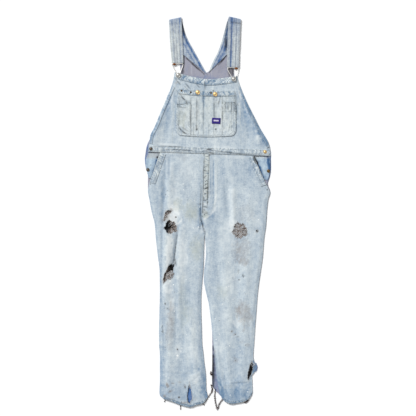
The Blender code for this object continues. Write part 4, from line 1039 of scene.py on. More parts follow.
@dataclass(frozen=True)
class Yarn(Finish):
    """Matt stuff in two shades that vary by place: spun cotton, or paint that has dried on it.

    Attributes:
        light, dark: the two shades.
        lumps: size of the places that are lighter or darker, in metres.
    """

    light: str
    dark: str
    lumps: float = 0.006

    def dress(self, tree: Tree, shader: bpy.types.Node, place: Socket) -> None:
        """Mixes the two shades by noise.

        Args:
            tree: the material's nodes.
            shader: its Principled BSDF.
            place: Object coordinates.
        """
        noise = add(tree, "ShaderNodeTexNoise", {
            "Vector": place, "Scale": 1 / self.lumps, "Detail": 3.0,
        }).outputs[0]
        share = add(tree, "ShaderNodeMath", {0: noise, 1: 3.0, 2: -1.0}, **CLAMPED).outputs[0]
        inputs = {0: share, 6: linear(self.light), 7: linear(self.dark)}
        colour = add(tree, "ShaderNodeMix", inputs, data_type="RGBA").outputs[2]
        tree.links.new(colour, shader.inputs["Base Color"])
        shader.inputs["Roughness"].default_value = 0.9
        shader.inputs["Specular IOR Level"].default_value = 0.2


# Work denim washed until it is pale grey-blue, with its dye left at the seams
FADED = Denim("washed_denim_twill", pale="#cdd5d7", indigo="#6a86a2")
# The same cloth where cloth over it kept the sun and the wash off
UNFADED = Denim("deep_denim_twill", pale="#bfd0da", indigo="#416a97", speckle=0.42)
# Straps of the same cloth folded over, with more dye left between their rows of stitches
STRAP = Denim("quilted_denim_twill", pale="#cdd4d3", indigo="#3b5f90", speckle=0.42)
# The wrong side of the twill, where the white weft shows through the warp; its near-black is
# painted shadow, in the rips and along the straps' edges
INSIDE = Denim("denim_twill_inside", pale="#9a9aa6", indigo="#3f6ba3", dark="#0d0c0c",
               speckle=0.38)
# Pressed sheet brass: a dull warm gold, and the same where its lacquer has worn off and it is
# nearly brown
BRASS = Metal("pressed_brass", clean="#e8c88e", dull="#a3834f", roughness=0.42)
DARK_BRASS = Metal("dark_brass", clean="#8a6f42", dull="#3d3326", roughness=0.42, patches=0.8)
# Drawn steel wire under nickel: pale and satin, with a few brown spots where the plating has gone
NICKEL = Metal("nickel_plated_steel", clean="#e6e5e1", dull="#a08a78", roughness=0.5, patches=0.1)
# Nickel-plated caps that have dulled: grey, in two tones
PEWTER = Metal("dulled_nickel", clean="#b9b8b4", dull="#77716b", roughness=0.5, patches=0.3)
# Rust on bare steel: rough orange-brown flakes
RUST = Metal("rusty_bar", clean="#a8703c", dull="#6b3c22", roughness=0.6, patches=1.0)
# Copper rivets and caps that have turned nearly black
RIVET = Metal("oxidised_copper", clean="#6f675f", dull="#2c2825", roughness=0.45, patches=0.7)
# Polyester-cotton topstitching, washed pale, and the darker thread of the pockets and straps
PALE_THREAD = Yarn("pale_thread", light="#dfe2dc", dark="#a7afae")
GREY_THREAD = Yarn("grey_thread", light="#9aa1a5", dark="#4c5459")
# Frayed cotton ends, matt and lumpy: grey-brown with dirt, clean white weft, nearly black at the
# hems, and warp that has kept its blue
BROWN_FRAY = Yarn("brown_fray", light="#b5a8a0", dark="#403634", lumps=0.004)
WHITE_FRAY = Yarn("white_fray", light="#eceeee", dark="#b9c2cb")
DARK_FRAY = Yarn("dark_fray", light="#5c4b47", dark="#231d1e", lumps=0.005)
BLUE_FRAY = Yarn("blue_fray", light="#8ba6cb", dark="#2f4f86", lumps=0.003)
# Emulsion paint that has dried matt: off-white, and dark grey
WHITE_PAINT = Yarn("white_paint", light="#e9edec", dark="#d3d8d8", lumps=0.02)
DARK_PAINT = Yarn("dark_paint", light="#6f6a66", dark="#2d2b2e", lumps=0.012)
# Satin-woven label: deep purple yarn, and the pale yarn of its bar
LABEL_PURPLE = Yarn("label_satin", light="#3c2f86", dark="#281f63", lumps=0.002)
LABEL_PALE = Yarn("label_yarn", light="#d9d2e2", dark="#b1a8c4", lumps=0.002)


def grid_quads(rows: int, cols: int) -> Array:
    """The quads between a grid's points.

    Args:
        rows, cols: the size of the grid.

    Returns:
        The four point numbers of each quad.
    """
    index = np.arange(rows * cols).reshape(rows, cols)
    corners = [index[:-1, :-1], index[:-1, 1:], index[1:, 1:], index[1:, :-1]]
    return np.stack(corners, -1).reshape(-1, 4)


def ring_quads(starts: Array, corners: int) -> Array:
    """The quads between rings of points and the rings that follow them.

    Args:
        starts: the number of each ring's first point, in an array whose last axis is 1.
        corners: points of a ring.

    Returns:
        The four point numbers of each quad.
    """
    k = np.arange(corners)
    a, b = starts + k, starts + (k + 1) % corners
    return np.stack([a, b, b + corners, a + corners], -1).reshape(-1, 4)


def mesh_object(name: str, points: Array, faces: list, finish: Finish) -> bpy.types.Object:
    """A shaded mesh from points in millimetres and faces of any size.

    Args:
        name: the piece's name.
        points: its points.
        faces: its faces, as lists of point numbers.
        finish: the finish whose material it takes.

    Returns:
        The object, at the origin.
    """
    mesh = bpy.data.meshes.new(name)
    mesh.from_pydata((points * MM).tolist(), [], faces)
    mesh.shade_smooth()
    mesh.materials.append(finish.material())
    made = bpy.data.objects.new(name, mesh)
    bpy.context.scene.collection.objects.link(made)
    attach(made, "root")
    return made


def thicken(made: bpy.types.Object, thickness: float) -> None:
    """Gives a sheet its thickness, downwards from its points.

    Args:
        made: the sheet.
        thickness: of its wall, in millimetres.
    """
    wall = made.modifiers.new("thickness", "SOLIDIFY")
    wall.thickness = thickness * MM
    wall.offset = -1.0


def cloth(
    name: str,
    points: Array,
    wear_and_shade: Array,
    olive: Array,
    finish: Denim,
    thickness: float,
    kept: Array | None = None,
) -> bpy.types.Object:
    """A sheet of quads through a grid of points, thickened downwards.

    Args:
        name: the piece's name.
        points: rows of columns of x, y and z in millimetres, on the upper side.
        wear_and_shade: indigo, soil, paleness with painted highlights, and painted shade at each
            point.
        olive: grime at each point.
        finish: the cloth.
        thickness: of the cloth, in millimetres.
        kept: for each point whether it is cloth; a face goes where none of its corners is.

    Returns:
        The object.
    """
    quads = grid_quads(*points.shape[:2])
    flat = points.reshape(-1, 3)
    diagonals = flat[quads[:, 2]] - flat[quads[:, 0]], flat[quads[:, 3]] - flat[quads[:, 1]]
    if np.cross(*diagonals)[:, 2].sum() < 0:
        quads = quads[:, ::-1]
    if kept is not None:
        quads = quads[kept.reshape(-1)[quads].any(1)]
    used, numbers = np.unique(quads, return_inverse=True)
    made = mesh_object(name, flat[used], numbers.reshape(-1, 4).tolist(), finish)
    colours = made.data.attributes.new("wear_and_shade", "FLOAT_COLOR", "POINT")
    colours.data.foreach_set("color", wear_and_shade.reshape(-1, 4)[used].astype(np.float32).ravel())
    grime = made.data.attributes.new("olive", "FLOAT", "POINT")
    grime.data.foreach_set("value", olive.reshape(-1)[used].astype(np.float32))
    thicken(made, thickness)
    return made


def tubes(paths: Array, radii: Array, sides: int) -> tuple[Array, list]:
    """Closed tubes along paths that have the same number of points.

    Each ring stands across its path, turned so that one radius is level.

    Args:
        paths: tubes by points by x, y and z, in millimetres.
        radii: the radius at each point.
        sides: corners of each ring.

    Returns:
        The points and the faces.
    """
    count, steps = paths.shape[:2]
    ahead = unit(np.gradient(paths, axis=1))
    level = unit(np.cross(ahead, (0.0, 0.0, 1.0)))
    up = np.cross(level, ahead)
    turn = (np.arange(sides) / sides * math.tau)[:, None]
    radii = np.broadcast_to(radii, (count, steps))[..., None, None]
    rings = level[:, :, None] * np.cos(turn) + up[:, :, None] * np.sin(turn)
    points = (paths[:, :, None] + rings * radii).reshape(-1, 3)
    first = (np.arange(count)[:, None, None] * steps + np.arange(steps - 1)[:, None]) * sides
    quads = ring_quads(first, sides).tolist()
    k = np.arange(sides)
    starts = np.arange(count)[:, None] * steps * sides
    near = (starts + k[::-1]).tolist()
    far = (starts + (steps - 1) * sides + k).tolist()
    return points, quads + near + far


# Where the four points of a stitch stand along it, as shares of its length from its middle
STITCH_SHARES = np.array([-0.5, -0.28, 0.28, 0.5])


@dataclass
class Stitching:
    """Rows of topstitching, gathered over many seams and made as one piece.

    Attributes:
        name: the piece's name.
        finish: its thread.
        pitch: from one stitch to the next, in millimetres.
        length: of one stitch.
        radius: of the thread.
        beads: the stitches gathered so far.
    """

    name: str
    finish: Yarn
    pitch: float = 4.3
    length: float = 3.3
    radius: float = 0.5
    beads: list[Array] = field(default_factory=list)

    def run(self, path: Array) -> None:
        """Sews along a path of points on the cloth's upper side.

        Args:
            path: x, y and z of the points, in millimetres.
        """
        count = max(2, round(length_of(path) / self.pitch))
        places = spaced(path, 2 * count + 1)
        middle, ahead = places[1::2], unit(places[2::2] - places[:-1:2])
        bead = middle[:, None] + ahead[:, None] * STITCH_SHARES[None, :, None] * self.length
        bead[..., 2] += np.array([0.05, 0.3, 0.3, 0.05]) * self.radius
        self.beads.append(bead)

    def tack(self, x: float, y: float, z: float, width: float, height: float) -> None:
        """Sews a bar tack: close stitches across a short upright bar.

        Args:
            x, y, z: its middle, in millimetres.
            width, height: its size.
        """
        rows = np.linspace(-height / 2, height / 2, max(3, round(height / 0.9)))
        bead = np.zeros((len(rows), 4, 3))
        bead[..., 0] = x + STITCH_SHARES * width
        bead[..., 1] = y + rows[:, None]
        bead[..., 2] = z + np.array([0.1, 0.5, 0.5, 0.1])
        self.beads.append(bead)

    def build(self) -> bpy.types.Object:
        """Makes the stitches gathered so far: a bead of four rings each, thin at both ends.

        Returns:
            The piece.
        """
        beads = np.concatenate(self.beads)
        radii = np.array([0.45, 1.0, 1.0, 0.45]) * self.radius
        points, faces = tubes(beads, radii, 4)
        LOG.info("%s: %d stitches", self.name, len(beads))
        return mesh_object(self.name, points, faces, self.finish)


@dataclass
class Band:
    """A folded strip of cloth sewn along an edge, roped by its stitching.

    Attributes:
        name: the piece's name, which is also the node's that it replaces.
        line: its outer edge, in x and y.
        far: its inner edge, with as many points or other ones.
        rows: where its rows of stitches run, as shares of its width.
        layers: folded layers under its upper side, itself among them.
        indigo: how much dye it keeps.
        rope: height of the ropes that its stitching pulls it into, in millimetres.
        pitch: from one rope to the next.
        lean: how many ropes an edge is ahead of the other edge.
        contrast: how much paler the ropes are than the grooves between them.
        lines: how dark the painted shade along its rows of stitches is.
        pressed: how far its two edges are pressed down, in millimetres.
        along, across: about how far its points stand apart along it and across it.
        slot: the name of its cloth's slot; it is not used.
    """

    name: str
    line: Array
    far: Array
    rows: tuple[float, ...] = (0.12, 0.86)
    layers: int = 1
    indigo: float = 0.34
    rope: float = 0.9
    pitch: float = 9.5
    lean: float = 0.7
    contrast: float = 0.42
    lines: float = 0.12
    pressed: float = 0.7
    along: float = 1.9
    across: float = 1.7
    slot: str = "faded_denim"

    def surface(self, lay: Lay, s: Array, t: Array) -> tuple[Array, Array]:
        """Points of the upper side.

        x and y are between the two edges. z is the front's height there, the layers, and the
        ropes: a wave along the band that leans across it, flat at both edges, which are pressed
        a little into the cloth.

        Args:
            lay: the heights of the front.
            s: shares of the length.
            t: shares of the width, from the outer edge.

        Returns:
            The points and the ropes' wave from 0 to 1.
        """
        at = np.linspace(0, 1, len(self.line_even))
        outer = np.stack([np.interp(s, at, c) for c in self.line_even.T], -1)
        inner = np.stack([np.interp(s, at, c) for c in self.far_even.T], -1)
        place = outer * (1 - t[..., None]) + inner * t[..., None]
        x, y = place[..., 0], place[..., 1]
        phase = s * self.length / self.pitch + self.lean * t + 1.1 * grain(x, y, 15, 12, 51)
        wave = 0.5 + 0.5 * np.sin(math.tau * phase)
        wave = wave * np.clip(0.62 + 0.7 * grain(x, y, 16, 11, 52), 0.1, 1)
        hump = smooth(t / 0.12) * smooth((1 - t) / 0.12)
        groove = sum(bell(t - row, 0.05) for row in self.rows)
        z = lay.top(x, y, self.layers) + self.rope * wave * hump * (1 - 0.5 * groove)
        edge = smooth(1 - t / 0.14) + smooth(1 - (1 - t) / 0.14)
        return np.stack([x, y, z - self.pressed * edge], -1), wave

    def __post_init__(self) -> None:
        """Spaces the two edges evenly."""
        count = max(8, round(length_of(self.line) / 4))
        self.line_even = spaced(self.line, count)
        self.far_even = spaced(self.far, count)
        self.length = length_of(self.line)
        self.width = float(np.linalg.norm(self.line_even - self.far_even, axis=1).mean())

    def build(self, lay: Lay, thread: Stitching) -> bpy.types.Object:
        """Makes the band and sews its rows: its dye stays in the grooves and fades off the ropes,
        and painted shade darkens the grooves and its rows of stitches.

        Args:
            lay: the heights of the front.
            thread: the stitching that its rows join.

        Returns:
            The band.
        """
        cols = max(8, round(self.length / self.along))
        rows = max(6, round(self.width / self.across))
        t, s = np.meshgrid(np.linspace(0, 1, rows), np.linspace(0, 1, cols), indexing="ij")
        points, wave = self.surface(lay, s, t)
        x, y = points[..., 0], points[..., 1]
        wear_and_shade = aging_and_shade_of(lay, x, y, self.indigo)
        groove = sum(bell(t - row, 0.07) for row in self.rows)
        edge = smooth(1 - t / 0.12) + smooth(1 - (1 - t) / 0.12)
        dabs = layered(x, y, 4.5, 5.5, 53)
        wear_and_shade[..., 0] += self.contrast * (0.40 - wave + 0.7 * dabs) + 0.16 * groove - 0.12 * edge
        # Painted shade between the ropes and along the rows of stitches
        wear_and_shade[..., 3] += 0.14 * smooth((0.3 - wave) / 0.3) + self.lines * groove
        wear_and_shade[..., 2] += 0.24 * smooth((wave - 0.6) / 0.4) * (0.5 + dabs)
        wear_and_shade = np.clip(wear_and_shade, 0, 1)
        made = cloth(self.name, points, wear_and_shade, olive_of(x, y), FADED, FOLDED)
        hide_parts(self.name)
        share = np.linspace(0.004, 0.996, max(8, round(self.length / 3)))
        for row in self.rows:
            path, _ = self.surface(lay, share, np.full_like(share, row))
            thread.run(path)
        LOG.info("%s: %.0f x %.0f mm", self.name, self.length, self.width)
        return made


def moved(line: Array, width: float, towards: tuple[float, float]) -> Array:
    """A line moved by a width in one direction."""
    return line + np.asarray(towards, float) / math.hypot(*towards) * width


@dataclass
class Panel:
    """A single cut of the front, or a pocket on it.

    Attributes:
        name: the piece's name, which is also the node's that it replaces.
        grid: x and y of its points.
        layers: folded layers under its upper side, itself among them.
        indigo: how much dye it keeps.
        rips: the holes through it.
        edge_rope: height of the puckers along its own edge, in millimetres.
        pucker: from one of them to the next, measured along X or Y.
        step: about how far its points stand apart.
        fray: how wide the soiled rim round a hole is, whose very edge also gets painted shade.
        slot: the record's slot of its cloth.
    """

    name: str
    grid: Array
    layers: int = 0
    indigo: float = 0.34
    rips: Sequence[Rip] = ()
    edge_rope: float = 0.0
    pucker: float = 11.0
    step: float = 2.6
    fray: float = 5.0
    slot: str = "faded_denim"

    def build(self, lay: Lay) -> bpy.types.Object:
        """Makes the panel, with its holes cut out and their rims soiled and darkened with painted
        shade.

        A point just inside a hole moves out to its rim, so the faces left end in an even edge.
        A pocket is puckered near its own edge, by a wave that fades inwards as a bell curve.

        Args:
            lay: the heights of the front.

        Returns:
            The panel.
        """
        x, y = self.grid[..., 0].copy(), self.grid[..., 1].copy()
        kept = np.ones(x.shape, bool)
        frayed = np.zeros(x.shape)
        for rip in self.rips:
            share = rip.share(x, y)
            hole = share < 1
            kept &= ~hole
            far = np.maximum(share, 0.2)
            x = np.where(hole, rip.x + (x - rip.x) / far, x)
            y = np.where(hole, rip.y + (y - rip.y) / far, y)
            width = self.fray / min(rip.across, rip.along)
            frayed = np.maximum(frayed, smooth((1 + width - share) / width))
        z = lay.top(x, y, self.layers)
        wear_and_shade = aging_and_shade_of(lay, x, y, self.indigo)
        wear_and_shade[..., 1] += 0.42 * frayed * (0.6 + 0.6 * grain(x, y, 5, 5, 61))
        # Painted shade at the very edge of a hole
        wear_and_shade[..., 3] += 0.25 * smooth((frayed - 0.7) / 0.3)
        if self.edge_rope:
            rows, cols = x.shape
            u = np.minimum(np.arange(cols), np.arange(cols)[::-1])[None]
            v = np.minimum(np.arange(rows), np.arange(rows)[::-1])[:, None]
            near = bell(np.minimum(u, v) * self.step, 7.0)
            wave = np.sin(math.tau * (x + y) / self.pucker + 2.0 * grain(x, y, 20, 20, 62))
            z = z + self.edge_rope * near * (0.5 + 0.5 * wave)
            wear_and_shade[..., 0] -= 0.22 * near * wave
            wear_and_shade[..., 0] += 0.22 * layered(x, y, 4.5, 9.0, 63)
            # Painted shade: dark dashes for the shade of small puckers
            wear_and_shade[..., 3] += 0.13 * smooth((layered(x, y, 4.5, 8.0, 64) - 0.22) / 0.3)
        thick = FOLDED if self.layers else DENIM
        points = np.stack([x, y, z], -1)
        made = cloth(self.name, points, np.clip(wear_and_shade, 0, 1), olive_of(x, y), FADED, thick, kept)
        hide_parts(self.name)
        LOG.info("%s: %d points", self.name, x.size)
        return made


@dataclass
class Back:
    """The back panels, inside up, flat on the floor: they show in the neck and the rips.

    Attributes:
        step: between their points, in millimetres.
        outer_feet, inner_feet: the height of the hem's corners, right and left.
        top: the height of the side's upper end.
        neck: where the centre seam ends.
        fork: how far under the crotch the inseam ends.
        clear: how far it stays from the front's.
        hem_inset: how far the hem stops short of the front's.
    """

    step: float = 3.8
    outer_feet: tuple[float, float] = (-696.0, -688.0)
    inner_feet: tuple[float, float] = (-704.0, -696.0)
    top: float = 605.0
    neck: float = 526.0
    fork: float = 8.0
    clear: float = 0.6
    hem_inset: float = 3.0

    def outline(self, side: Side) -> Array:
        """The grid of one back panel: from the side seam to the centre seam and the inseam.

        Args:
            side: the wearer's side.

        Returns:
            x and y of its points.
        """
        seam = up_edge(CENTRE_SEAM, "back", CROTCH, self.neck, side.sign * HALF_GAP)
        outer = up_edge(BODY_SIDES, side.column, side.pick(*self.outer_feet), self.top)
        column, foot = side.pick("right", "left_back"), side.pick(*self.inner_feet)
        leg = up_edge(INSEAMS, column, foot, CROTCH - self.fork, side.sign * self.clear)
        hem = rounded(xy(side.pick(HEM_RIGHT, HEM_LEFT)), 4) + (0, self.hem_inset)
        hem = side.pick([outer[:1], hem[2:-2], leg[:1]], [leg[:1], hem[4:-4], outer[:1]])
        top = rounded(xy(side.pick(BACK_TOP_RIGHT, BACK_TOP_LEFT)), 4)
        inner = np.vstack([leg, seam[:-1], side.pick(top[-1:], top[:1])])
        first, second = side.pick((outer, inner), (inner, outer))
        return patch(first, second, np.vstack(hem), top, self.step)

    def build(self, side: Side) -> bpy.types.Object:
        """Makes one back panel, flat, with its own marks of dye, soil and shade.

        Args:
            side: the wearer's side.

        Returns:
            The panel.
        """
        grid = self.outline(side)
        x, y = grid[..., 0], grid[..., 1]
        rough = 1 + 0.4 * layered(x, y, 6, 8, 21)
        dye = spots(BACK_INDIGO, x, y) + 0.06 * layered(x, y, 14, 50, 22)
        soil, shade = spots(BACK_SOIL, x, y) * rough, spots(BACK_SHADE, x, y)
        wear_and_shade = np.stack([dye, soil, spots(BACK_PALE, x, y), shade], -1)
        points = np.stack([x, y, np.full_like(x, DENIM)], -1)
        name = f"back_panel_{side.value}"
        made = cloth(name, points, np.clip(wear_and_shade, 0, 1), np.zeros_like(x), INSIDE, DENIM)
        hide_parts(name)
        LOG.info("%s: %d points", name, x.size)
        return made


@dataclass
class Leg:
    """A front leg with its hems, mouth, rips and, on the left, the fly.

    Attributes:
        side: the wearer's side.
        step: between its points, in millimetres.
        hem_width, mouth_width: of the turned hems of the leg and of the pocket's mouth.
        mouth_lean: how far the mouth's hem drops for each millimetre that it goes inwards.
        join: how far the side and the inseam stop short of a corner, which rounds it.
        fly_width, fly_length: of the fly band.
    """

    side: Side
    step: float = 2.7
    hem_width: float = 11.0
    mouth_width: float = 23.0
    mouth_lean: float = 0.34
    join: float = 4.0
    fly_width: float = 17.0
    fly_length: float = 174.0

    def mouth(self) -> Array:
        """The slanted edge of the side pocket, from the waist seam down.

        Returns:
            x and y along it.
        """
        line = rounded(xy(self.side.pick(MOUTH_RIGHT, MOUTH_LEFT)), 4)
        line[0, 1] = waist_height(line[0, 0]) - HALF_GAP
        return line

    def hem(self) -> Array:
        """The hem from left to right."""
        return rounded(xy(self.side.pick(HEM_RIGHT, HEM_LEFT)), 6)

    def centre(self) -> Array:
        """The front's centre seam, from the crotch to the waist."""
        top = float(waist_height(CENTRE_X)) - HALF_GAP
        return up_edge(CENTRE_SEAM, "front", CROTCH, top, self.side.sign * HALF_GAP)

    def grid(self) -> Array:
        """The grid of the whole front leg, between its side, its inseam, its hem and the waist.

        Returns:
            x and y of its points.
        """
        hem, mouth, centre = self.hem(), self.mouth()[::-1], self.centre()
        ends, column = self.side.pick(hem[[0, -1]], hem[[-1, 0]]), self.side.column
        outer = up_edge(BODY_SIDES, column, ends[0][1] + self.join, mouth[0, 1] - 6)
        leg = up_edge(INSEAMS, column, ends[1][1] + self.join, CROTCH - self.join)
        outer = np.vstack([ends[0], outer, mouth])
        inner = np.vstack([ends[1], leg, centre])
        first, second = self.side.pick((outer, inner), (inner, outer))
        x = np.linspace(first[-1, 0], second[-1, 0], 24)
        top = np.column_stack([x, waist_height(x) - HALF_GAP])
        top[[0, -1]] = first[-1], second[-1]
        return patch(first, second, hem, top, self.step)

    def bands(self) -> list[Band]:
        """The hem, the mouth's hem and the fly.

        Returns:
            The bands, ready to build.
        """
        letter, sign = self.side.value, self.side.sign
        hem = self.hem()[6:-6]
        mouth = self.mouth()[:-5]
        towards = (-sign, -self.mouth_lean)
        made = [
            Band(f"leg_hem_{letter}", hem, moved(hem, self.hem_width, (0, 1)), rows=(0.22, 0.8),
                 rope=1.1, pitch=8.5, indigo=0.76, contrast=0.85, lines=0.55),
            Band(f"pocket_mouth_hem_{letter}", mouth, moved(mouth, self.mouth_width, towards),
                 rows=(0.10, 0.66), rope=1.0, pitch=10.0, lean=-0.5, indigo=0.28, contrast=0.5,
                 lines=0.18),
        ]
        if self.side is Side.LEFT:
            line = self.centre()
            line = line[line[:, 1] > line[-1, 1] - self.fly_length]
            made.append(Band("fly_band", line, moved(line, self.fly_width, (1, 0)),
                             rows=(0.2, 0.8), rope=1.2, pitch=11.0, lean=0.9, indigo=0.06,
                             contrast=0.75, lines=0.20))
        return made

    def build(self, lay: Lay, thread: Stitching) -> None:
        """Args:
            lay: the heights of the front.
            thread: the stitching that its rows join.
        """
        grid = self.grid()
        panel = Panel(f"front_leg_{self.side.value}", grid, rips=rips_of(self.side))
        made = panel.build(lay)
        on_it = [band.build(lay, thread) for band in self.bands()]


# The facings' edges: up the left and the right side, then the lower and the upper one
FACING_EDGES = {
    "r": (
        [(-224, 127), (-227.5, 138), (-235, 166), (-237, 190), (-233, 207), (-226, 223.5)],
        [(-165, 150), (-150, 222.5)],
        [(-224, 127), (-205, 127), (-165, 150)],
        [(-226, 223.5), (-150, 222.5)],
    ),
    "l": (
        [(165, 150), (150, 212)],
        [(228.5, 121), (233, 138), (236.5, 166), (237, 190), (234, 209.5)],
        [(165, 150), (205, 121), (228.5, 121)],
        [(150, 212), (234, 209.5)],
    ),
}


@dataclass
class Facing:
    """The blue cloth behind a slanted pocket mouth.

    Attributes:
        side: the wearer's side.
        step: between its points, in millimetres.
        strip_from, strip_over: where the strip under the waist begins, and over what height.
    """

    side: Side
    step: float = 2.6
    strip_from: float = 196.0
    strip_over: float = 14.0

    def grid(self) -> Array:
        """Its grid, from the side seam to under the leg."""
        edges = (np.array(edge) for edge in FACING_EDGES[self.side.value])
        return patch(*edges, self.step)

    def build(self, lay: Lay) -> bpy.types.Object:
        """Makes the facing: blue, with a greyer strip under the waist and shade at the mouth.

        Args:
            lay: the heights of the front.

        Returns:
            The facing.
        """
        grid = self.grid()
        x, y = grid[..., 0], grid[..., 1]
        top = smooth((y - self.strip_from) / self.strip_over)
        mouth = self.side.pick(MOUTH_RIGHT, MOUTH_LEFT)
        order = np.argsort(mouth["y"])
        edge = np.interp(y, mouth["y"][order], mouth["x"][order])
        near, seam = bell(x - edge, 7.0), bell(lay.outside(x, y), 6.0)
        rough = layered(x, y, 9, 16, 31)
        dye = 0.30 + 0.16 * rough - 0.22 * top + 0.20 * seam
        dye = dye + self.side.pick(0.0, 0.10) * (1 - top)
        dye = dye + spots(FACING_INDIGO, x, y)
        soil = self.side.pick(0.40, 0.28) * top
        shade = 0.34 * near + 0.03 + spots(FACING_SHADE, x, y)
        wear_and_shade = np.clip(np.stack([dye, soil, 0.2 * top, shade], -1), 0, 1)
        z = np.full_like(x, SEAM_LEVEL + FOLDED)
        points = np.stack([x, y, z], -1)
        name = f"side_facing_{self.side.value}"
        made = cloth(name, points, wear_and_shade, np.zeros_like(x), UNFADED, FOLDED)
        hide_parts(name)
        LOG.info("%s: %d points", name, x.size)
        return made


@dataclass
class Bib:
    """The bib with its wings, bands, pockets and label. All its sizes are in millimetres.

    Attributes:
        step, pocket_step, small_step: between the points of the bib, of its pocket and of the
            two on that.
        inset: how far the waistband's ends stop short of the bib's sides.
        side_tops: where the slanted sides end under the top's corners, right and left.
        waistband, top_width, hem_width: of its three kinds of band.
        hem_lean: how far a side hem drops for each millimetre that it goes inwards.
        pocket_left, pocket_right: x of the bib pocket's sides.
        pocket_tops, pocket_lows: y of its upper and lower corners, from left to right.
        top_sag, low_sag: how far its edges sag between them.
        corner: radius of its lower corners.
        pocket_hem: width of its hem.
        taper_from: the height over which it narrows.
        taper: how far its left and right sides are drawn in at the top.
        pencil_x, pencil_top: side and top of the pencil pocket.
        watch_x, watch_tops: side of the watch pocket, and its top from left to right.
        wing_tops: where the hems of the slanted sides end, right and left.
        pocket_middle: the point round which the rows of stitches follow the pocket's edge.
        pocket_rows: how far out those rows run, as shares of the edge's distance.
    """

    step: float = 2.6
    pocket_step: float = 2.4
    small_step: float = 2.2
    inset: float = 0.6
    side_tops: tuple[float, float] = (518.0, 505.0)
    waistband: float = 25.0
    top_width: float = 24.0
    hem_width: float = 13.0
    hem_lean: float = 0.45
    pocket_left: float = -121.5
    pocket_right: float = 106.5
    pocket_tops: tuple[float, float] = (467.0, 459.0)
    pocket_lows: tuple[float, float] = (293.0, 290.0)
    top_sag: float = 5.0
    low_sag: float = 8.0
    corner: float = 24.0
    pocket_hem: float = 20.0
    taper_from: float = 340.0
    taper: tuple[float, float] = (12.0, 6.0)
    pencil_x: float = 57.0
    pencil_top: float = 412.0
    watch_x: float = -65.0
    watch_tops: tuple[float, float] = (396.0, 408.0)
    wing_tops: tuple[float, float] = (478.0, 445.0)
    pocket_middle: tuple[float, float] = (-7.0, 380.0)
    pocket_rows: tuple[float, ...] = (0.975, 0.925)

    def top(self) -> Array:
        """The bib's top edge from left to right."""
        return rounded(xy(BIB_TOP), 6)

    def waist(self) -> Array:
        """Its lower edge from left to right.

        Returns:
            x and y along it.
        """
        level = waist_height(0.0)
        x = np.linspace(*(float(monotone(BIB_SIDES, side.column, level)) for side in Side), 60)
        return np.column_stack([x, waist_height(x) + HALF_GAP])

    def grid(self) -> Array:
        """The grid of the whole bib.

        Returns:
            x and y of its points.
        """
        low, top = self.waist(), self.top()
        right, left = (
            np.vstack([up_edge(BIB_SIDES, side.column, foot, head), corner])
            for side, foot, head, corner in zip(Side, low[[0, -1], 1], self.side_tops, top[[0, -1]])
        )
        return patch(right, left, low, top, self.step)

    def bands(self) -> list[Band]:
        """The waistband, the top band and the hems of the slanted sides.

        Returns:
            The bands, ready to build.
        """
        low, top = self.waist(), self.top()
        over = low + (0, self.waistband)
        over[0, 0] = monotone(BIB_SIDES, "right", over[0, 1])
        over[-1, 0] = monotone(BIB_SIDES, "left", over[-1, 1])
        for line in (low, over):
            line[[0, -1], 0] += (self.inset, -self.inset)
        made = [
            Band("waistband", low, over, rows=(0.10, 0.28, 0.86), rope=0.7, pitch=13.0,
                 indigo=0.26, contrast=0.40, lines=0.20),
            Band("bib_top_band", top, moved(top, self.top_width, (0, -1)), rows=(0.12, 0.82),
                 rope=1.1, pitch=10.5, lean=1.1, indigo=0.36, contrast=0.85, lines=0.05),
        ]
        for side, foot, head in zip(Side, over[[0, -1], 1], self.wing_tops):
            edge = up_edge(BIB_SIDES, side.column, foot + 10, head)
            far = moved(edge, self.hem_width, (-side.sign, -self.hem_lean))
            made.append(Band(f"bib_hem_{side.value}", edge, far, rows=(0.78,), rope=0.35,
                             pitch=14.0, indigo=0.30, contrast=0.16, slot="unfaded_denim"))
        return made

    def tapered(self, points: Array) -> Array:
        """Points of the pocket drawn in towards its top, from both sides, by a square law.

        Args:
            points: x and y before that.

        Returns:
            x and y after it.
        """
        top = self.pocket_tops[0]
        rise = np.clip((points[..., 1] - self.taper_from) / (top - self.taper_from), 0, 1) ** 2
        width = self.pocket_right - self.pocket_left
        share = (points[..., 0] - self.pocket_left) / width
        drawn = self.taper[0] * (1 - share) - self.taper[1] * share
        return np.stack([points[..., 0] + drawn * rise, points[..., 1]], -1)

    def pocket_lines(self) -> dict[str, Array]:
        """The pocket's edges before it tapers.

        Returns:
            top, low from corner to corner, left and right, each as x and y along it.
        """
        share = np.linspace(0, 1, 60)
        sag = np.sin(share * math.pi)
        x = self.pocket_left + share * (self.pocket_right - self.pocket_left)
        top_y = self.pocket_tops[0] + share * (self.pocket_tops[1] - self.pocket_tops[0])
        low_y = self.pocket_lows[0] + share * (self.pocket_lows[1] - self.pocket_lows[0])
        top = np.column_stack([x, top_y - self.top_sag * sag])
        low = np.column_stack([x, low_y - self.low_sag * sag])
        r = self.corner
        low = low[(x > self.pocket_left + r) & (x < self.pocket_right - r)]

        def arc(cx: float, cy: float, start: float, end: float) -> Array:
            """An eighth of a circle round a corner's middle, between two angles."""
            turn = np.radians(np.linspace(start, end, 8))
            return np.column_stack([cx + r * np.cos(turn), cy + r * np.sin(turn)])

        left_at = self.pocket_left + r, low[0, 1] + r
        right_at = self.pocket_right - r, low[-1, 1] + r
        return {
            "top": top,
            "low": np.vstack([arc(*left_at, 225, 270), low, arc(*right_at, 270, 315)]),
            "left": np.vstack([arc(*left_at, 225, 180), top[0]]),
            "right": np.vstack([arc(*right_at, 315, 360), top[-1]]),
        }

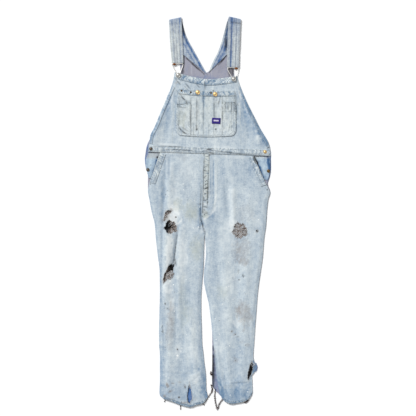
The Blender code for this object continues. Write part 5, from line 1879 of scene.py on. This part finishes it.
    def pockets(self) -> list[Panel]:
        """The bib pocket, the pencil pocket and the watch pocket.

        Returns:
            The panels, ready to build.
        """
        lines = self.pocket_lines()
        low, left, right = lines["low"], lines["left"], lines["right"]
        foot = np.array([self.pencil_x, np.interp(self.pencil_x, *low.T)])
        head = np.array([self.pencil_x, self.pencil_top])
        end = np.array([self.pocket_right, self.pencil_top])
        pencil = patch(
            np.vstack([foot, head]), np.vstack([right[:-1], end]),
            np.vstack([foot, low[low[:, 0] > self.pencil_x + 1]]), np.vstack([head, end]),
            self.small_step,
        )
        foot = np.array([self.watch_x, np.interp(self.watch_x, *low.T)])
        head = np.array([self.watch_x, self.watch_tops[1]])
        end = np.array([self.pocket_left, self.watch_tops[0]])
        watch = patch(
            np.vstack([left[:-1], end]), np.vstack([foot, head]),
            np.vstack([low[low[:, 0] < self.watch_x - 1], foot]), np.vstack([end, head]),
            self.small_step,
        )
        whole = patch(left, right, low, lines["top"], self.pocket_step)
        whole, pencil, watch = (self.tapered(grid) for grid in (whole, pencil, watch))
        return [
            Panel("bib_pocket", whole, layers=1, indigo=0.18, edge_rope=0.5),
            Panel("pencil_pocket", pencil, layers=2, indigo=0.14, edge_rope=0.5),
            Panel("watch_pocket", watch, layers=2, indigo=0.14, edge_rope=0.5),
        ]

    def build(self, lay: Lay, thread: Stitching, grey: Stitching) -> None:
        """Args:
            lay: the heights of the front.
            thread: the stitching of its bands.
            grey: the stitching round its pocket.
        """
        grid = self.grid()
        made = Panel("bib", grid, indigo=0.30).build(lay)
        on_it = [band.build(lay, thread) for band in self.bands()]
        lines = self.pocket_lines()
        top = lines["top"]
        far = self.tapered(moved(top, self.pocket_hem, (0, -1)))
        hem = Band("pocket_hem", self.tapered(top), far, rows=(0.12, 0.84), layers=2, rope=0.8,
                   pitch=9.0, lean=0.6, indigo=0.34, contrast=0.84, lines=0.12)
        on_it.append(hem.build(lay, thread))
        on_it += [pocket.build(lay) for pocket in self.pockets()]
        on_it.append(Label().build(lay))
        rim = np.vstack([lines["left"][::-1], lines["low"][1:-1], lines["right"]])
        rim, middle = self.tapered(spaced(rim, 200)), np.array(self.pocket_middle)
        for share in self.pocket_rows:
            x, y = (middle + (rim - middle) * share).T
            under_hem = y < self.pocket_tops[1] - self.pocket_hem
            x, y = spaced(np.column_stack([x, y])[under_hem], 160).T
            grey.run(np.column_stack([x, y, lay.top(x, y, 2)]))


@dataclass
class Label:
    """A small satin label, purple with a plain pale bar.

    Attributes:
        centre, size: in millimetres.
        tilt: in radians, counter-clockwise.
        thread: thickness of the bar.
        made: the pieces, once they are built.
    """

    centre: tuple[float, float] = (31.5, 345.0)
    size: tuple[float, float] = (32.5, 22.0)
    tilt: float = -0.05
    thread: float = 0.3
    made: list[bpy.types.Object] = field(default_factory=list)

    def place(self, u: Array, v: Array) -> Array:
        """Places on the tilted label.

        Args:
            u, v: shares of its width and height from its middle.

        Returns:
            x and y in the last axis.
        """
        c, s = math.cos(self.tilt), math.sin(self.tilt)
        dx, dy = u * self.size[0], v * self.size[1]
        return np.stack([self.centre[0] + dx * c - dy * s, self.centre[1] + dx * s + dy * c], -1)

    def strip(
        self, lay: Lay, name: str, u: Array, v: Array, over: float, finish: Yarn
    ) -> None:
        """Makes a grid that follows the cloth under the label.

        Args:
            lay: the heights of the front.
            name: the piece's name.
            u, v: shares of the label's width and height, from its middle.
            over: how far over the label's upper side it lies, in millimetres.
            finish: its yarn.
        """
        v, u = np.meshgrid(v, u, indexing="ij")
        place = self.place(u, v)
        x, y = place[..., 0], place[..., 1]
        points = np.stack([x, y, lay.top(x, y, 2) + over], -1)
        made = mesh_object(name, points.reshape(-1, 3), grid_quads(*u.shape).tolist(), finish)
        thicken(made, self.thread if over else FOLDED)
        if name == "label":
            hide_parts("label")
        self.made.append(made)

    def build(self, lay: Lay) -> bpy.types.Object:
        """Makes the label and its bar.

        Args:
            lay: the heights of the front.

        Returns:
            The label.
        """
        wide, tall = np.linspace(-0.5, 0.5, 17), np.linspace(-0.5, 0.5, 12)
        self.strip(lay, "label", wide, tall, 0.0, LABEL_PURPLE)
        self.strip(lay, "label_bar", np.linspace(-0.30, 0.30, 9), np.array([-0.12, 0.16]), 0.35,
                   LABEL_PALE)
        LOG.info("label: %.0f x %.0f mm", *self.size)
        return self.made[0]


# Stripes of dye along the straps, up the back and down the front of each: dye on the whole,
# then place across from the outer edge, width and amount of each stripe
STRAP_STRIPES = {
    "r": {
        "back": (0.48, (0.86, 0.10, 0.46), (0.56, 0.07, 0.26), (0.2, 0.08, 0.20)),
        "front": (0.16, (0.80, 0.04, 0.45), (0.50, 0.035, 0.30), (0.22, 0.05, 0.26),
                  (0.97, 0.03, 0.30)),
    },
    "l": {
        "back": (0.52, (0.48, 0.12, 0.36), (0.93, 0.05, -0.40), (0.80, 0.04, 0.22)),
        "front": (0.25, (0.70, 0.08, 0.95), (0.93, 0.04, 0.34), (0.30, 0.035, 0.30),
                  (0.06, 0.04, 0.26)),
    },
}


@dataclass
class Strap:
    """A doubled strap: up the back, folded over at the shoulder, and down the front.

    Attributes:
        side: the wearer's side.
        step: between points along it, in millimetres.
        cols: points across it.
        width: as it is declared; it is not used.
        bends: points round the fold.
        rows: where its rows of stitches run, as shares of its width from the outer edge.
        grey_rows: which of them are in the darker thread.
        sewn_from: the place along it where its rows begin to show.
    """

    side: Side
    step: float = 2.4
    cols: int = 41
    width: float = 45.5
    bends: int = 13
    rows: tuple[float, ...] = (0.07, 0.29, 0.51, 0.73, 0.93)
    grey_rows: tuple[float, ...] = (0.29, 0.73)
    sewn_from: float = 2.02

    def rings(self) -> tuple[Array, Array]:
        """The strap's line: up the back, half a turn round the fold, and down the front.

        Returns:
            For each place along it x and y of the outer and of the neck edge, its level and its
            turn; and a share that is 0 to 1 up the back and 2 to 3 down the front.
        """
        back = self.side.pick(STRAP_BACK_RIGHT, STRAP_BACK_LEFT)
        front = self.side.pick(STRAP_FRONT_RIGHT, STRAP_FRONT_LEFT)
        fold = STRAP_FOLDS[self.side.value]
        half = STRAP_CLOTH / 2
        up = rounded(np.column_stack(list(back.values())))
        down = rounded(np.column_stack(list(front.values())))
        up, down = (spaced(p, round(length_of(p[:, :2]) / self.step)) for p in (up, down))
        low, high = back["base"][-1] + half, front["base"][0] + half
        turn = np.linspace(0, math.pi, self.bends)[:, None]
        radius = (high - low) / 2
        edge = np.array([fold["x"][0], fold["y"][0], fold["x"][1], fold["y"][1]])
        moved_by = np.array([0.0, 1.0, 0.0, 1.0]) * radius * np.sin(turn)
        over = np.column_stack([edge + moved_by, (low + high) / 2 - radius * np.cos(turn)])
        up[:, 4] += half
        down[:, 4] += half
        rings = np.vstack([up, over, down])
        turns = np.concatenate([np.zeros(len(up)), turn[:, 0], np.full(len(down), math.pi)])
        share = np.concatenate([
            np.linspace(0, 1, len(up)), np.linspace(1, 2, self.bends),
            np.linspace(2, 3, len(down)),
        ])
        return np.column_stack([rings, turns]), share

    def build(self, thread: Stitching, grey: Stitching) -> bpy.types.Object:
        """Makes the strap as one sheet through the middle of its cloth, and sews its rows.

        Its cloth swells between the rows of stitches and is drawn in along them: 1 less a bell
        curve at each row.

        Args:
            thread: the stitching of most of its rows.
            grey: the stitching of its grey rows.

        Returns:
            The strap.
        """
        rings, share = self.rings()
        t = np.linspace(0, 1, self.cols)[None]
        ox, oy, nx, ny, level, turn = (c[:, None] for c in rings.T)
        x, y = ox * (1 - t) + nx * t, oy * (1 - t) + ny * t
        swell = 1 - sum(bell(t - row, 0.045) for row in self.rows)
        swell = np.clip(swell, 0, 1) + 0.35 * layered(x, y, 8, 30, 71)
        flat = np.abs(np.cos(turn)) ** 8
        down = smooth(share[:, None] - 1.5)
        rise = (0.5 * down + 0.25 * (1 - down)) * flat
        z = level + rise * swell
        z = z + down * flat * 0.5 * (0.5 + 0.5 * layered(x, y, 30, 34, 72))
        points = np.stack([x, y, z], -1)
        dye = self.stripes(t, share[:, None], x, y)
        seam = sum(bell(t - row, 0.035) for row in self.rows)
        # Painted shade along the rows of stitches down the front
        shade = (0.12 + 0.08 * layered(x, y, 9, 14, 76)) * seam * down
        shade = shade + self.shade(t, share[:, None], x, y)
        soil = 0.12 + 0.10 * layered(x, y, 10, 40, 73) + 0.10 * seam
        pale = 0.25 * bell(t, 0.06) + 0.25 * bell(1 - t, 0.05)
        wear_and_shade = [dye, soil * down, pale * np.ones_like(x), shade]
        wear_and_shade = np.clip(np.stack(np.broadcast_arrays(*wear_and_shade), -1), 0, 1)
        name = f"strap_{self.side.value}"
        made = cloth(name, points, wear_and_shade, np.zeros_like(x), STRAP, STRAP_CLOTH - 0.2)
        made.modifiers["thickness"].offset = 0.0
        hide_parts(name)
        ends = share > self.sewn_from
        for row in self.rows:
            k = round(row * (self.cols - 1))
            path = points[ends, k] + (0, 0, STRAP_CLOTH / 2 - 0.1)
            (grey if row in self.grey_rows else thread).run(path)
        return made

    def steps(self, points: Array) -> Array:
        """Distances between the rings along the strap's middle.

        Args:
            points: its rings of points.

        Returns:
            The distance from the ring before each, which is 0 for the first.
        """
        middle = points[:, self.cols // 2]
        steps = np.linalg.norm(np.diff(middle, axis=0), axis=1)
        return np.concatenate([[0.0], steps])

    def stripes(self, t: Array, share: Array, x: Array, y: Array) -> Array:
        """Dye left in lengthwise stripes, each a bell curve across the strap.

        The inside, which shows up the back, is deeper towards the fold.

        Args:
            t: shares of the width from the outer edge.
            share: places along it, as rings gives them.
            x, y: places in millimetres.

        Returns:
            The dye at each place.
        """
        noise = 0.15 * layered(x, y, 5, 60, 74) + 0.12 * layered(x, y, 7, 9, 75)
        dye = {}
        for half, (whole, *rows) in STRAP_STRIPES[self.side.value].items():
            dye[half] = whole + sum(amount * bell(t - at, width) for at, width, amount in rows)
        back = dye["back"] + self.side.pick(0.30, 0.34) * smooth(share * 1.7 - 0.75)
        down = smooth(share - 1.5)
        return dye["front"] * down + back * (1 - down) + noise

    def shade(self, t: Array, share: Array, x: Array, y: Array) -> Array:
        """Shadow near the fold, where the two halves close, and a dark line just over the fold.

        Args:
            t: shares of the width from the outer edge.
            share: places along it, as rings gives them.
            x, y: places in millimetres.

        Returns:
            The shade at each place.
        """
        closing = 0.50 * smooth((share - 0.55) / 0.45) + spots(STRAP_SHADE, x, y)
        closing = closing * (share <= 1.2)
        line = 0.45 * bell(share - 2.03, 0.02) * smooth((0.85 - t) / 0.1)
        return closing + self.side.pick(0.25, 1.0) * line


@dataclass
class Fraying:
    """Loose threads across one leg's rips, brown ones and white ones apart.

    Attributes:
        side: the leg.
        points: of each thread.
        radius: of a thread, in millimetres.
    """

    side: Side
    points: int = 9
    radius: float = 0.42

    def threads(self, lay: Lay, rip: Rip, rng: np.random.Generator) -> Array:
        """Threads from a rip's rim to somewhere across it.

        Each runs from an angle on the rim to a point further round and further in, bowed and
        shaken a little, and sags from the front's height towards the back panel.

        Args:
            lay: the heights of the front.
            rip: the hole.
            rng: the source of chance.

        Returns:
            Threads by points by x, y and z.
        """
        n = rip.threads
        start = rng.uniform(rip.first, rip.last, n)
        swing = rng.normal(0.0, 0.6, n)
        reach = rng.uniform(0.15, 1.0, n) * rip.reach
        s = np.linspace(0, 1, self.points)[None]
        turn = start[:, None] + swing[:, None] * s
        share = np.abs(1.06 - reach[:, None] * s * 1.5)
        place = rip.at(turn, np.clip(share, 0.03, 1.1))
        wander = np.cumsum(rng.normal(0, 0.55, (n, self.points, 2)), axis=1)
        place = place + wander * np.minimum(1, s * 3)[..., None]
        inside = np.clip(rip.share(place[..., 0], place[..., 1]), 0, 1.1)
        rim = lay.top(place[..., 0], place[..., 1]) + 0.3
        low = DENIM + 0.7 + rng.uniform(0, 1.0, (n, 1)) + 1.6 * inside
        low = low + 0.8 * np.sin(s * 9 + start[:, None])
        if not rip.cut:
            low = rim + rng.uniform(0, 0.9, (n, 1)) * np.sin(math.pi * s)
            return np.concatenate([place, low[..., None]], -1)
        z = np.where(inside > 0.97, rim, np.minimum(rim, low))
        return np.concatenate([place, z[..., None]], -1)

    def build(self, lay: Lay) -> None:
        """Makes the brown and the white threads of all the leg's rips.

        Args:
            lay: the heights of the front.
        """
        rng = np.random.default_rng(self.side.pick(7, 8))
        brown, white = [], []
        for rip in rips_of(self.side) + rips_of(self.side, cut=False):
            paths = self.threads(lay, rip, rng)
            is_brown = rng.uniform(size=len(paths)) < rip.brown
            brown.append(paths[is_brown])
            white.append(paths[~is_brown])
        for name, paths, finish in (
            (f"frayed_threads_{self.side.value}", brown, BROWN_FRAY),
            (f"white_threads_{self.side.value}", white, WHITE_FRAY),
        ):
            paths = np.concatenate(paths)
            taper = np.linspace(1.0, 0.55, self.points)
            points, faces = tubes(paths, taper * self.radius, 4)
            mesh_object(name, points, faces, finish)
            LOG.info("%s: %d threads", name, len(paths))


# Frayed cords and threads at the hems: path in pixels, spread in mm and strands of each
LOOSE_CORDS = {
    "v_thread": ([(215.4, 389), (214.7, 396), (216.3, 405.4), (218.0, 409.2), (219.2, 404.2),
                  (222.4, 399.4), (224.4, 397.6)], 1.5, 4),
    "hem_thread": ([(212.2, 388), (211.4, 392), (208.4, 396.6), (205.6, 401.0), (202.6, 403.8)],
                   1.4, 4),
    "corner_tuft": ([(165.4, 399.6), (164.2, 401.6)], 1.2, 3),
    "hem_tuft": ([(180.6, 404.2), (180.6, 409.4)], 1.0, 3),
    "inner_tuft": ([(202.4, 402.8), (204.2, 405.0)], 1.2, 3),
    "left_hem_tuft": ([(242.8, 400.6), (245.5, 402.6), (248.4, 400.0)], 1.9, 5),
    "dark_knot": ([(211.0, 371.4), (210.6, 374.6), (212.4, 374.0)], 1.9, 5),
    "low_knot": ([(211.0, 384.4), (212.2, 388.8), (211.8, 392.4)], 1.8, 5),
    "inseam_knot": ([(204.4, 374.8), (205.4, 376.6)], 1.1, 3),
    "tear_flap_threads": ([(252.6, 361.6), (255.4, 363.8), (256.6, 367.6), (255.0, 371.6)],
                          1.5, 4),
}


@dataclass
class Cords:
    """Frayed cords: a few strands twisted round a path, that spread and shake a little.

    Attributes:
        turn_length: length of one turn of the twist, in millimetres.
        radius: of one strand.
        step: between the points of a strand.
        level: how high the lowest strands lie over the floor.
    """

    turn_length: float = 9.0
    radius: float = 0.75
    step: float = 1.4
    level: float = 1.4

    def build(self) -> None:
        """Makes all the cords, dark brown, and blue at the torn side of the left leg.

        Each strand is a helix round the path: a cosine to the side and a sine upwards.
        """
        rng = np.random.default_rng(21)
        for name, (pixels, spread, strands) in LOOSE_CORDS.items():
            line = from_photo(pixels)
            line = spaced(rounded(line, 5), max(12, round(length_of(line) / self.step)))
            along = np.linspace(0, length_of(line), len(line))
            paths = []
            for k in range(strands):
                turn = along / self.turn_length * math.tau + k * math.tau / strands
                shake = np.cumsum(rng.normal(0, 0.22, (len(line), 2)), axis=0)
                flat = line + beside(line) * (np.cos(turn) * spread)[:, None] + shake
                z = self.radius + self.level + spread * (0.5 + 0.5 * np.sin(turn))
                paths.append(np.column_stack([flat, z]))
            radii = self.radius * (0.75 + 0.25 * np.sin(along))
            points, faces = tubes(np.array(paths), radii, 6)
            finish = BLUE_FRAY if name == "tear_flap_threads" else DARK_FRAY
            mesh_object(name, points, faces, finish)
            LOG.info("%s: %.0f mm", name, along[-1])


@dataclass
class Paint:
    """Drops of dried paint on the cloth: flat blobs with uneven rims.

    Attributes:
        name: the piece's name.
        finish: the paint.
        seed: picks the scattered drops.
        scattered: how many there are.
        largest: half size of the largest of them, in millimetres.
        placed: middle and half size of drops that the photo shows.
        corners: of each drop's rings.
        low, high: the corners of the field that the others are scattered over.
        from_seam, from_hole: how far from a side seam, and how far out from a hole's middle as
            a share of its rim's, a scattered drop may fall.
        dome: height of a drop.
    """

    name: str
    finish: Yarn
    seed: int
    scattered: int
    largest: float
    placed: Table
    corners: int = 12
    low: tuple[float, float] = (-180.0, -700.0)
    high: tuple[float, float] = (200.0, 200.0)
    from_seam: float = 14.0
    from_hole: float = 1.6
    dome: float = 0.3

    def build(self, lay: Lay) -> None:
        """Makes the drops.

        Each is four rings, the first of them a point: z is the front's height, plus a thin dome
        that falls to the rim, and the rim's distance varies with the angle.

        Args:
            lay: the heights of the front.
        """
        rng = np.random.default_rng(self.seed)
        spread = rng.uniform(self.low, self.high, (self.scattered * 3, 2))
        x, y = spread.T
        on_leg = (lay.outside(x, y) > self.from_seam) & (lay.inside(x, y) > self.from_seam - 2)
        for side in Side:
            for rip in rips_of(side):
                on_leg &= rip.share(x, y) > self.from_hole
        spread = spread[on_leg][: self.scattered]
        size = self.largest * rng.uniform(0.3, 1.0, len(spread)) ** 2
        centre = np.vstack([spread, xy(self.placed)])
        size = np.concatenate([np.maximum(size, 0.6), self.placed["across"]])
        turn = np.arange(self.corners) / self.corners * math.tau
        strength = rng.uniform(-0.16, 0.16, (len(size), 4, 1))
        phase = rng.uniform(0, 6, (len(size), 4, 1))
        waves = (strength * np.sin(np.arange(1, 5)[:, None] * turn + phase)).sum(1)
        rings = np.array([0.0, 0.55, 0.9, 1.0])
        dome = self.dome * np.array([1.0, 0.85, 0.45, -0.25])
        reach = size[:, None, None] * rings[None, :, None] * (1 + waves[:, None])
        px = centre[:, 0, None, None] + reach * np.cos(turn)
        py = centre[:, 1, None, None] + reach * np.sin(turn)
        z = lay.top(px, py) + dome[None, :, None]
        points = np.stack([px, py, z], -1).reshape(-1, 3)
        first = np.arange(len(size))[:, None, None] * 4 + np.arange(3)[:, None]
        quads = ring_quads(first * self.corners, self.corners)[:, [0, 3, 2, 1]].tolist()
        mesh_object(self.name, points, quads, self.finish)
        LOG.info("%s: %d drops", self.name, len(size))


WHITE_DROPS = read_off("x y across", [
    (170.4, 281, 0.9), (173.6, 284.6, 0.7), (168.2, 283.4, 0.5), (177.6, 355.4, 1.1),
    (190, 262, 0.5), (186.2, 240, 0.5), (228.4, 262, 0.6), (222.4, 304, 0.6), (215.4, 318.4, 0.5),
    (226.8, 287, 0.6), (258.6, 219.6, 0.6), (236.2, 207.4, 0.5), (193.4, 228, 0.6),
    (180.4, 205, 0.5), (172.6, 205.4, 0.6), (233, 299.6, 0.5), (229.6, 345.6, 0.6),
    (219.4, 334, 0.5), (186.8, 334.6, 0.5), (174.4, 311, 0.6),
])
DARK_DROPS = read_off("x y across", [
    (176, 217.2, 0.55), (165.2, 303.6, 0.5), (177.5, 349.2, 0.6), (167.4, 308.4, 0.3),
    (179, 397.2, 0.6), (231.8, 331.2, 0.5), (235.6, 334.4, 0.4), (244.8, 275.8, 0.32),
    (238.9, 279.4, 0.4), (170, 390.8, 0.5), (167, 384.6, 0.4), (184.8, 386.4, 0.35),
    (161.9, 331.6, 0.4), (245.2, 344.8, 0.4), (235.4, 360.2, 0.5), (181.6, 401.8, 0.5),
])


@dataclass
class Button:
    """A turned metal button or rivet in the place of its solid.

    Attributes:
        node: the solid's name, which it takes.
        finish: its metal.
        profile: radius as a share of the solid's, and height as a share from foot to crown.
        slot: the name of that metal's slot; it is not used.
        segments: round it.
    """

    node: str
    finish: Metal
    profile: tuple[tuple[float, float], ...]
    slot: str
    segments: int = 48

    def build(self) -> bpy.types.Object:
        """Makes it: the profile turned round the middle of the solid's box.

        Returns:
            The button or rivet.
        """
        low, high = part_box(self.node)
        low, high = np.array(low) / MM, np.array(high) / MM
        centre, radius = (low + high) / 2, (high[0] - low[0]) / 2
        profile = rounded(np.array(self.profile), 3)
        turn = np.arange(self.segments) / self.segments * math.tau
        r = np.maximum(profile[:, :1], 0.001) * radius
        z = low[2] + profile[:, 1:] * (high[2] - low[2])
        rings = [centre[0] + r * np.cos(turn), centre[1] + r * np.sin(turn), z + 0 * turn]
        points = np.stack(rings, -1).reshape(-1, 3)
        first, k = np.arange(len(profile))[:, None] * self.segments, np.arange(self.segments)
        faces = ring_quads(first[:-1], self.segments).tolist()
        faces += [k[::-1].tolist(), (k + first[-1]).tolist()]
        made = mesh_object(self.node, points, faces, self.finish)
        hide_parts(self.node)
        LOG.info("%s: %.1f mm across", self.node, 2 * radius)
        return made


# Radius and height of the points of a profile, from the foot to the crown
TACK_BUTTON = (
    (0.34, 0.0), (0.34, 0.38), (0.93, 0.42), (1.0, 0.52), (0.99, 0.66), (0.93, 0.76),
    (0.84, 0.76), (0.77, 0.66), (0.66, 0.68), (0.50, 0.86), (0.30, 0.97), (0.0, 1.0),
)
PRESSED_RIVET = (
    (0.86, 0.0), (0.98, 0.2), (1.0, 0.45), (0.92, 0.8), (0.72, 1.0), (0.52, 0.92),
    (0.40, 0.62), (0.22, 0.55), (0.0, 0.60),
)


@dataclass
class Buckle:
    """A bent wire buckle: its bar at the strap's end, its loop round the bib button's neck.

    Attributes:
        side: the wearer's side.
        wire: its diameter, in millimetres.
        half_width: of the bar.
        loop: radius of the loop.
        corner: radius of the bar's corners.
        crust: greatest thickness of the rust on it.
        bend: the angles in degrees between which the loop runs round the button.
        crust_drop: how far under the bar's middle, along Y, the rust hangs.
    """

    side: Side
    wire: float = 2.8
    half_width: float = 20.5
    loop: float = 8.2
    corner: float = 3.5
    crust: float = 2.2
    bend: tuple[float, float] = (40.0, -220.0)
    crust_drop: float = 2.4

    def path(self) -> Array:
        """The wire's line, bent at the shoulders and round the button, from the bar's middle.

        Returns:
            x, y and z along it.
        """
        front = self.side.pick(STRAP_FRONT_RIGHT, STRAP_FRONT_LEFT)
        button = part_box(f"bib_button_{self.side.value}")
        cx, cy = ((button[0] + button[1]) / 2 / MM)[:2]
        bx = (front["outer_x"][-1] + front["neck_x"][-1]) / 2
        by = front["outer_y"][-1] - self.wire / 2 - SEAM_GAP
        bar_level = front["base"][-1] + STRAP_CLOTH / 2
        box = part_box(f"buckle_{self.side.value}")
        loop_level = box[1][2] / MM - self.wire / 2
        w, r = self.half_width, self.corner
        shoulder = by - 3 * r
        turn = np.radians(np.linspace(*self.bend, 15))
        loop = np.column_stack([cx + self.loop * np.cos(turn), cy + self.loop * np.sin(turn)])
        right = np.array([(bx + w - r, by), (bx + w - r * 0.3, by - r * 0.3), (bx + w, by - r),
                          (bx + w - r / 2, shoulder)])
        left = (right * (-1, 1) + (2 * bx, 0))[::-1]
        flat = np.vstack([(bx, by), right, loop, left, (bx, by)])
        share = smooth((shoulder - flat[:, 1]) / (4 * r))
        z = bar_level + (loop_level - bar_level) * share
        return spaced(rounded(np.column_stack([flat, z]), 6), 180)

    def build(self) -> bpy.types.Object:
        """Makes the wire, and the rust at the outer end of the bar that the photo shows.

        Returns:
            The wire.
        """
        path = self.path()
        points, faces = tubes(path[None], np.full(len(path), self.wire / 2), 12)
        name = f"buckle_{self.side.value}"
        made = mesh_object(name, points, faces, NICKEL)
        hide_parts(name)
        reach = self.half_width - 1.0
        near = path[:, 1] > path[0, 1] - 0.6
        outer = path[near & ((path[:, 0] - path[0, 0]) * self.side.sign > reach * 0.30)]
        outer = outer[np.argsort(outer[:, 0])]
        crust = self.wire / 2 + self.crust * np.sin(np.linspace(0.3, 2.8, len(outer)))
        points, faces = tubes((outer - (0, self.crust_drop, 0))[None], crust, 12)
        mesh_object(f"buckle_rust_{self.side.value}", points, faces, RUST)
        LOG.info("%s: %d points", name, len(path))
        return made


# Seams sewn on single panels: layers under the thread, rows, then the path in pixels. Rows
# stand ROWS_APART from each other
ROWS_APART = 6.0
PANEL_SEAMS = (
    (0, 2, [(204.9, 87.6), (204.9, 90.0)]),
    (0, 2, [(204.6, 139.5), (204.9, 145.2)]),
    (0, 1, [(176.4, 80.5), (174.6, 96), (173.4, 112), (172.6, 128), (172.2, 144)]),
    (0, 1, [(238.4, 83), (239.6, 100), (240.4, 118), (240.8, 134), (240.9, 146)]),
    (0, 2, [(216.4, 158.5), (216.2, 193), (213.9, 206), (210.4, 213.6), (205.4, 218.6)]),
    (0, 1, [(199.6, 158), (200.3, 186), (199.0, 214), (201.2, 228)]),
    (0, 2, [(203.0, 205.5), (202.6, 212), (202.6, 221)]),
    (1, 1, [(203.0, 97.5), (203.2, 134.8)]),
    (1, 1, [(199.2, 97.5), (198.8, 134)]),
    (1, 1, [(196.2, 97.5), (196.0, 132)]),
    (1, 1, [(213.6, 97), (213.6, 133.4)]),
    (1, 1, [(216.0, 97), (216.0, 133.4)]),
    (1, 1, [(221.9, 96.5), (221.9, 133.6)]),
    (1, 1, [(191.2, 97.5), (191.2, 132.6)]),
    (2, 1, [(223.6, 105.4), (223.6, 132.8)]),
    (2, 1, [(224.0, 105.0), (238.0, 105.0)]),
    (2, 1, [(189.6, 105.4), (189.6, 132.0)]),
    (2, 1, [(177.0, 105.8), (190.0, 102.6)]),
    (2, 1, [(231.4, 105), (231.6, 131.4)]),
)
TACKS = read_off("x y across layers tall", [
    (196.8, 129.9, 0.9, 1, 1.4), (215.9, 129.4, 0.9, 1, 1.4), (204.1, 209.8, 1.1, 0, 0.7),
    (204.4, 214.6, 1, 0, 0.7), (224, 104.2, 0.5, 2, 1), (237.6, 104.4, 0.5, 2, 1),
    (177.2, 104.4, 0.6, 2, 0.8), (190, 103.6, 0.5, 2, 0.9), (150.4, 184, 0.7, 0, 1.2),
    (267, 189.6, 0.8, 0, 1.2), (176.6, 90.6, 0.6, 2, 0.8), (239, 92.4, 0.6, 2, 0.8),
])


def sew_panels(lay: Lay, thread: Stitching, grey: Stitching) -> None:
    """Sews the seams and bar tacks that lie on single panels.

    Args:
        lay: the heights of the front.
        thread: the stitching of the legs' seams.
        grey: the stitching of the pockets' seams and of the tacks.
    """
    for layers, rows, pixels in PANEL_SEAMS:
        line = from_photo(pixels)
        line = spaced(rounded(line, 6), max(6, round(length_of(line) / 3)))
        for k in range(rows):
            x, y = (line + beside(line) * (k - (rows - 1) / 2) * ROWS_APART).T
            (grey if layers else thread).run(np.column_stack([x, y, lay.top(x, y, layers)]))
    for x, y, across, layers, tall in zip(*TACKS.values()):
        z = float(lay.top(np.array([x]), np.array([y]), int(layers))[0])
        grey.tack(x, y, z, across, tall)


# The sun's strength, its width and its lean in degrees; the sky; the floor, which lies a little
# under the cloth; the camera's place and the side of what it sees. All of it in metres
KEY_STRENGTH, KEY_SOFTNESS, KEY_LEAN = 3.0, 18.0, -34.0
SKY_STRENGTH = 0.50
SKY_COLOUR = (0.97, 0.985, 1.0, 1.0)
FLOOR_COLOUR = (0.93, 0.93, 0.93, 1.0)
FLOOR_HALF, FLOOR_DROP = 6.0, 0.0004
CAMERA_AT = (0.0004, 0.0146, 4.0)
FRAME_SIZE = 416 * PIXEL * MM


def stage() -> None:
    """The pale floor, the soft light from the upper left, and the camera straight above."""
    floor = bpy.data.meshes.new("floor")
    corners = [(-1, -1), (1, -1), (1, 1), (-1, 1)]
    points = [(x * FLOOR_HALF, y * FLOOR_HALF, -FLOOR_DROP) for x, y in corners]
    floor.from_pydata(points, [], [(0, 1, 2, 3)])
    paper = bpy.data.materials.new("floor_paper")
    paper.use_nodes = True
    inputs = paper.node_tree.nodes["Principled BSDF"].inputs
    inputs["Base Color"].default_value = FLOOR_COLOUR
    inputs["Roughness"].default_value = 1.0
    floor.materials.append(paper)
    ground = bpy.data.objects.new("floor", floor)
    key = bpy.data.lights.new("key", "SUN")
    key.energy = KEY_STRENGTH
    key.angle = math.radians(KEY_SOFTNESS)
    lamp = bpy.data.objects.new("key", key)
    lamp.rotation_euler = (math.radians(KEY_LEAN), math.radians(KEY_LEAN), 0.0)
    camera = bpy.data.cameras.new("camera")
    camera.sensor_width = 36.0
    camera.lens = camera.sensor_width * CAMERA_AT[2] / FRAME_SIZE
    eye = bpy.data.objects.new("camera", camera)
    eye.location = CAMERA_AT
    for made in (ground, lamp, eye):
        bpy.context.scene.collection.objects.link(made)
    bpy.context.scene.camera = eye
    world = bpy.data.worlds.new("sky")
    world.use_nodes = True
    inputs = world.node_tree.nodes["Background"].inputs
    inputs[0].default_value, inputs[1].default_value = SKY_COLOUR, SKY_STRENGTH
    bpy.context.scene.world = world
    bpy.context.scene.view_settings.view_transform = "Standard"


def main() -> None:
    """Builds the garment from the floor up, then its metal, the light and the camera."""
    logging.basicConfig(level=logging.INFO, format="%(message)s")
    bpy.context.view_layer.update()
    lay = Lay()
    pale = Stitching("pale_stitches", PALE_THREAD)
    grey = Stitching("grey_stitches", GREY_THREAD, pitch=4.0, length=2.9, radius=0.45)
    legs = Stitching("leg_stitches", PALE_THREAD)
    back = Back()
    for side in Side:
        back.build(side)
        Facing(side).build(lay)
        Leg(side).build(lay, legs)
    Bib().build(lay, pale, grey)
    for side in Side:
        Strap(side).build(pale, grey)
    sew_panels(lay, legs, grey)
    for thread in (pale, grey, legs):
        thread.build()
    for side in Side:
        Fraying(side).build(lay)
    Cords().build()
    Paint("white_drops", WHITE_PAINT, 5, 60, 2.4, WHITE_DROPS).build(lay)
    Paint("dark_drops", DARK_PAINT, 6, 26, 1.6, DARK_DROPS).build(lay)
    for side in Side:
        letter = side.value
        Button(f"bib_button_{letter}", PEWTER, TACK_BUTTON, "rusty_wire").build()
        Button(f"pocket_button_{letter}", BRASS, TACK_BUTTON, "worn_brass").build()
        waist, hip = side.pick((RIVET, RIVET), (BRASS, DARK_BRASS))
        Button(f"waist_button_{letter}", waist, TACK_BUTTON, "worn_brass").build()
        Button(f"hip_button_{letter}", hip, TACK_BUTTON, "worn_brass").build()
        Buckle(side).build()
    for place in ("outer", "inner", "centre"):
        Button(f"pocket_rivet_{place}", RIVET, PRESSED_RIVET, "dark_rivet").build()
    stage()


if __name__ == "__main__":
    main()
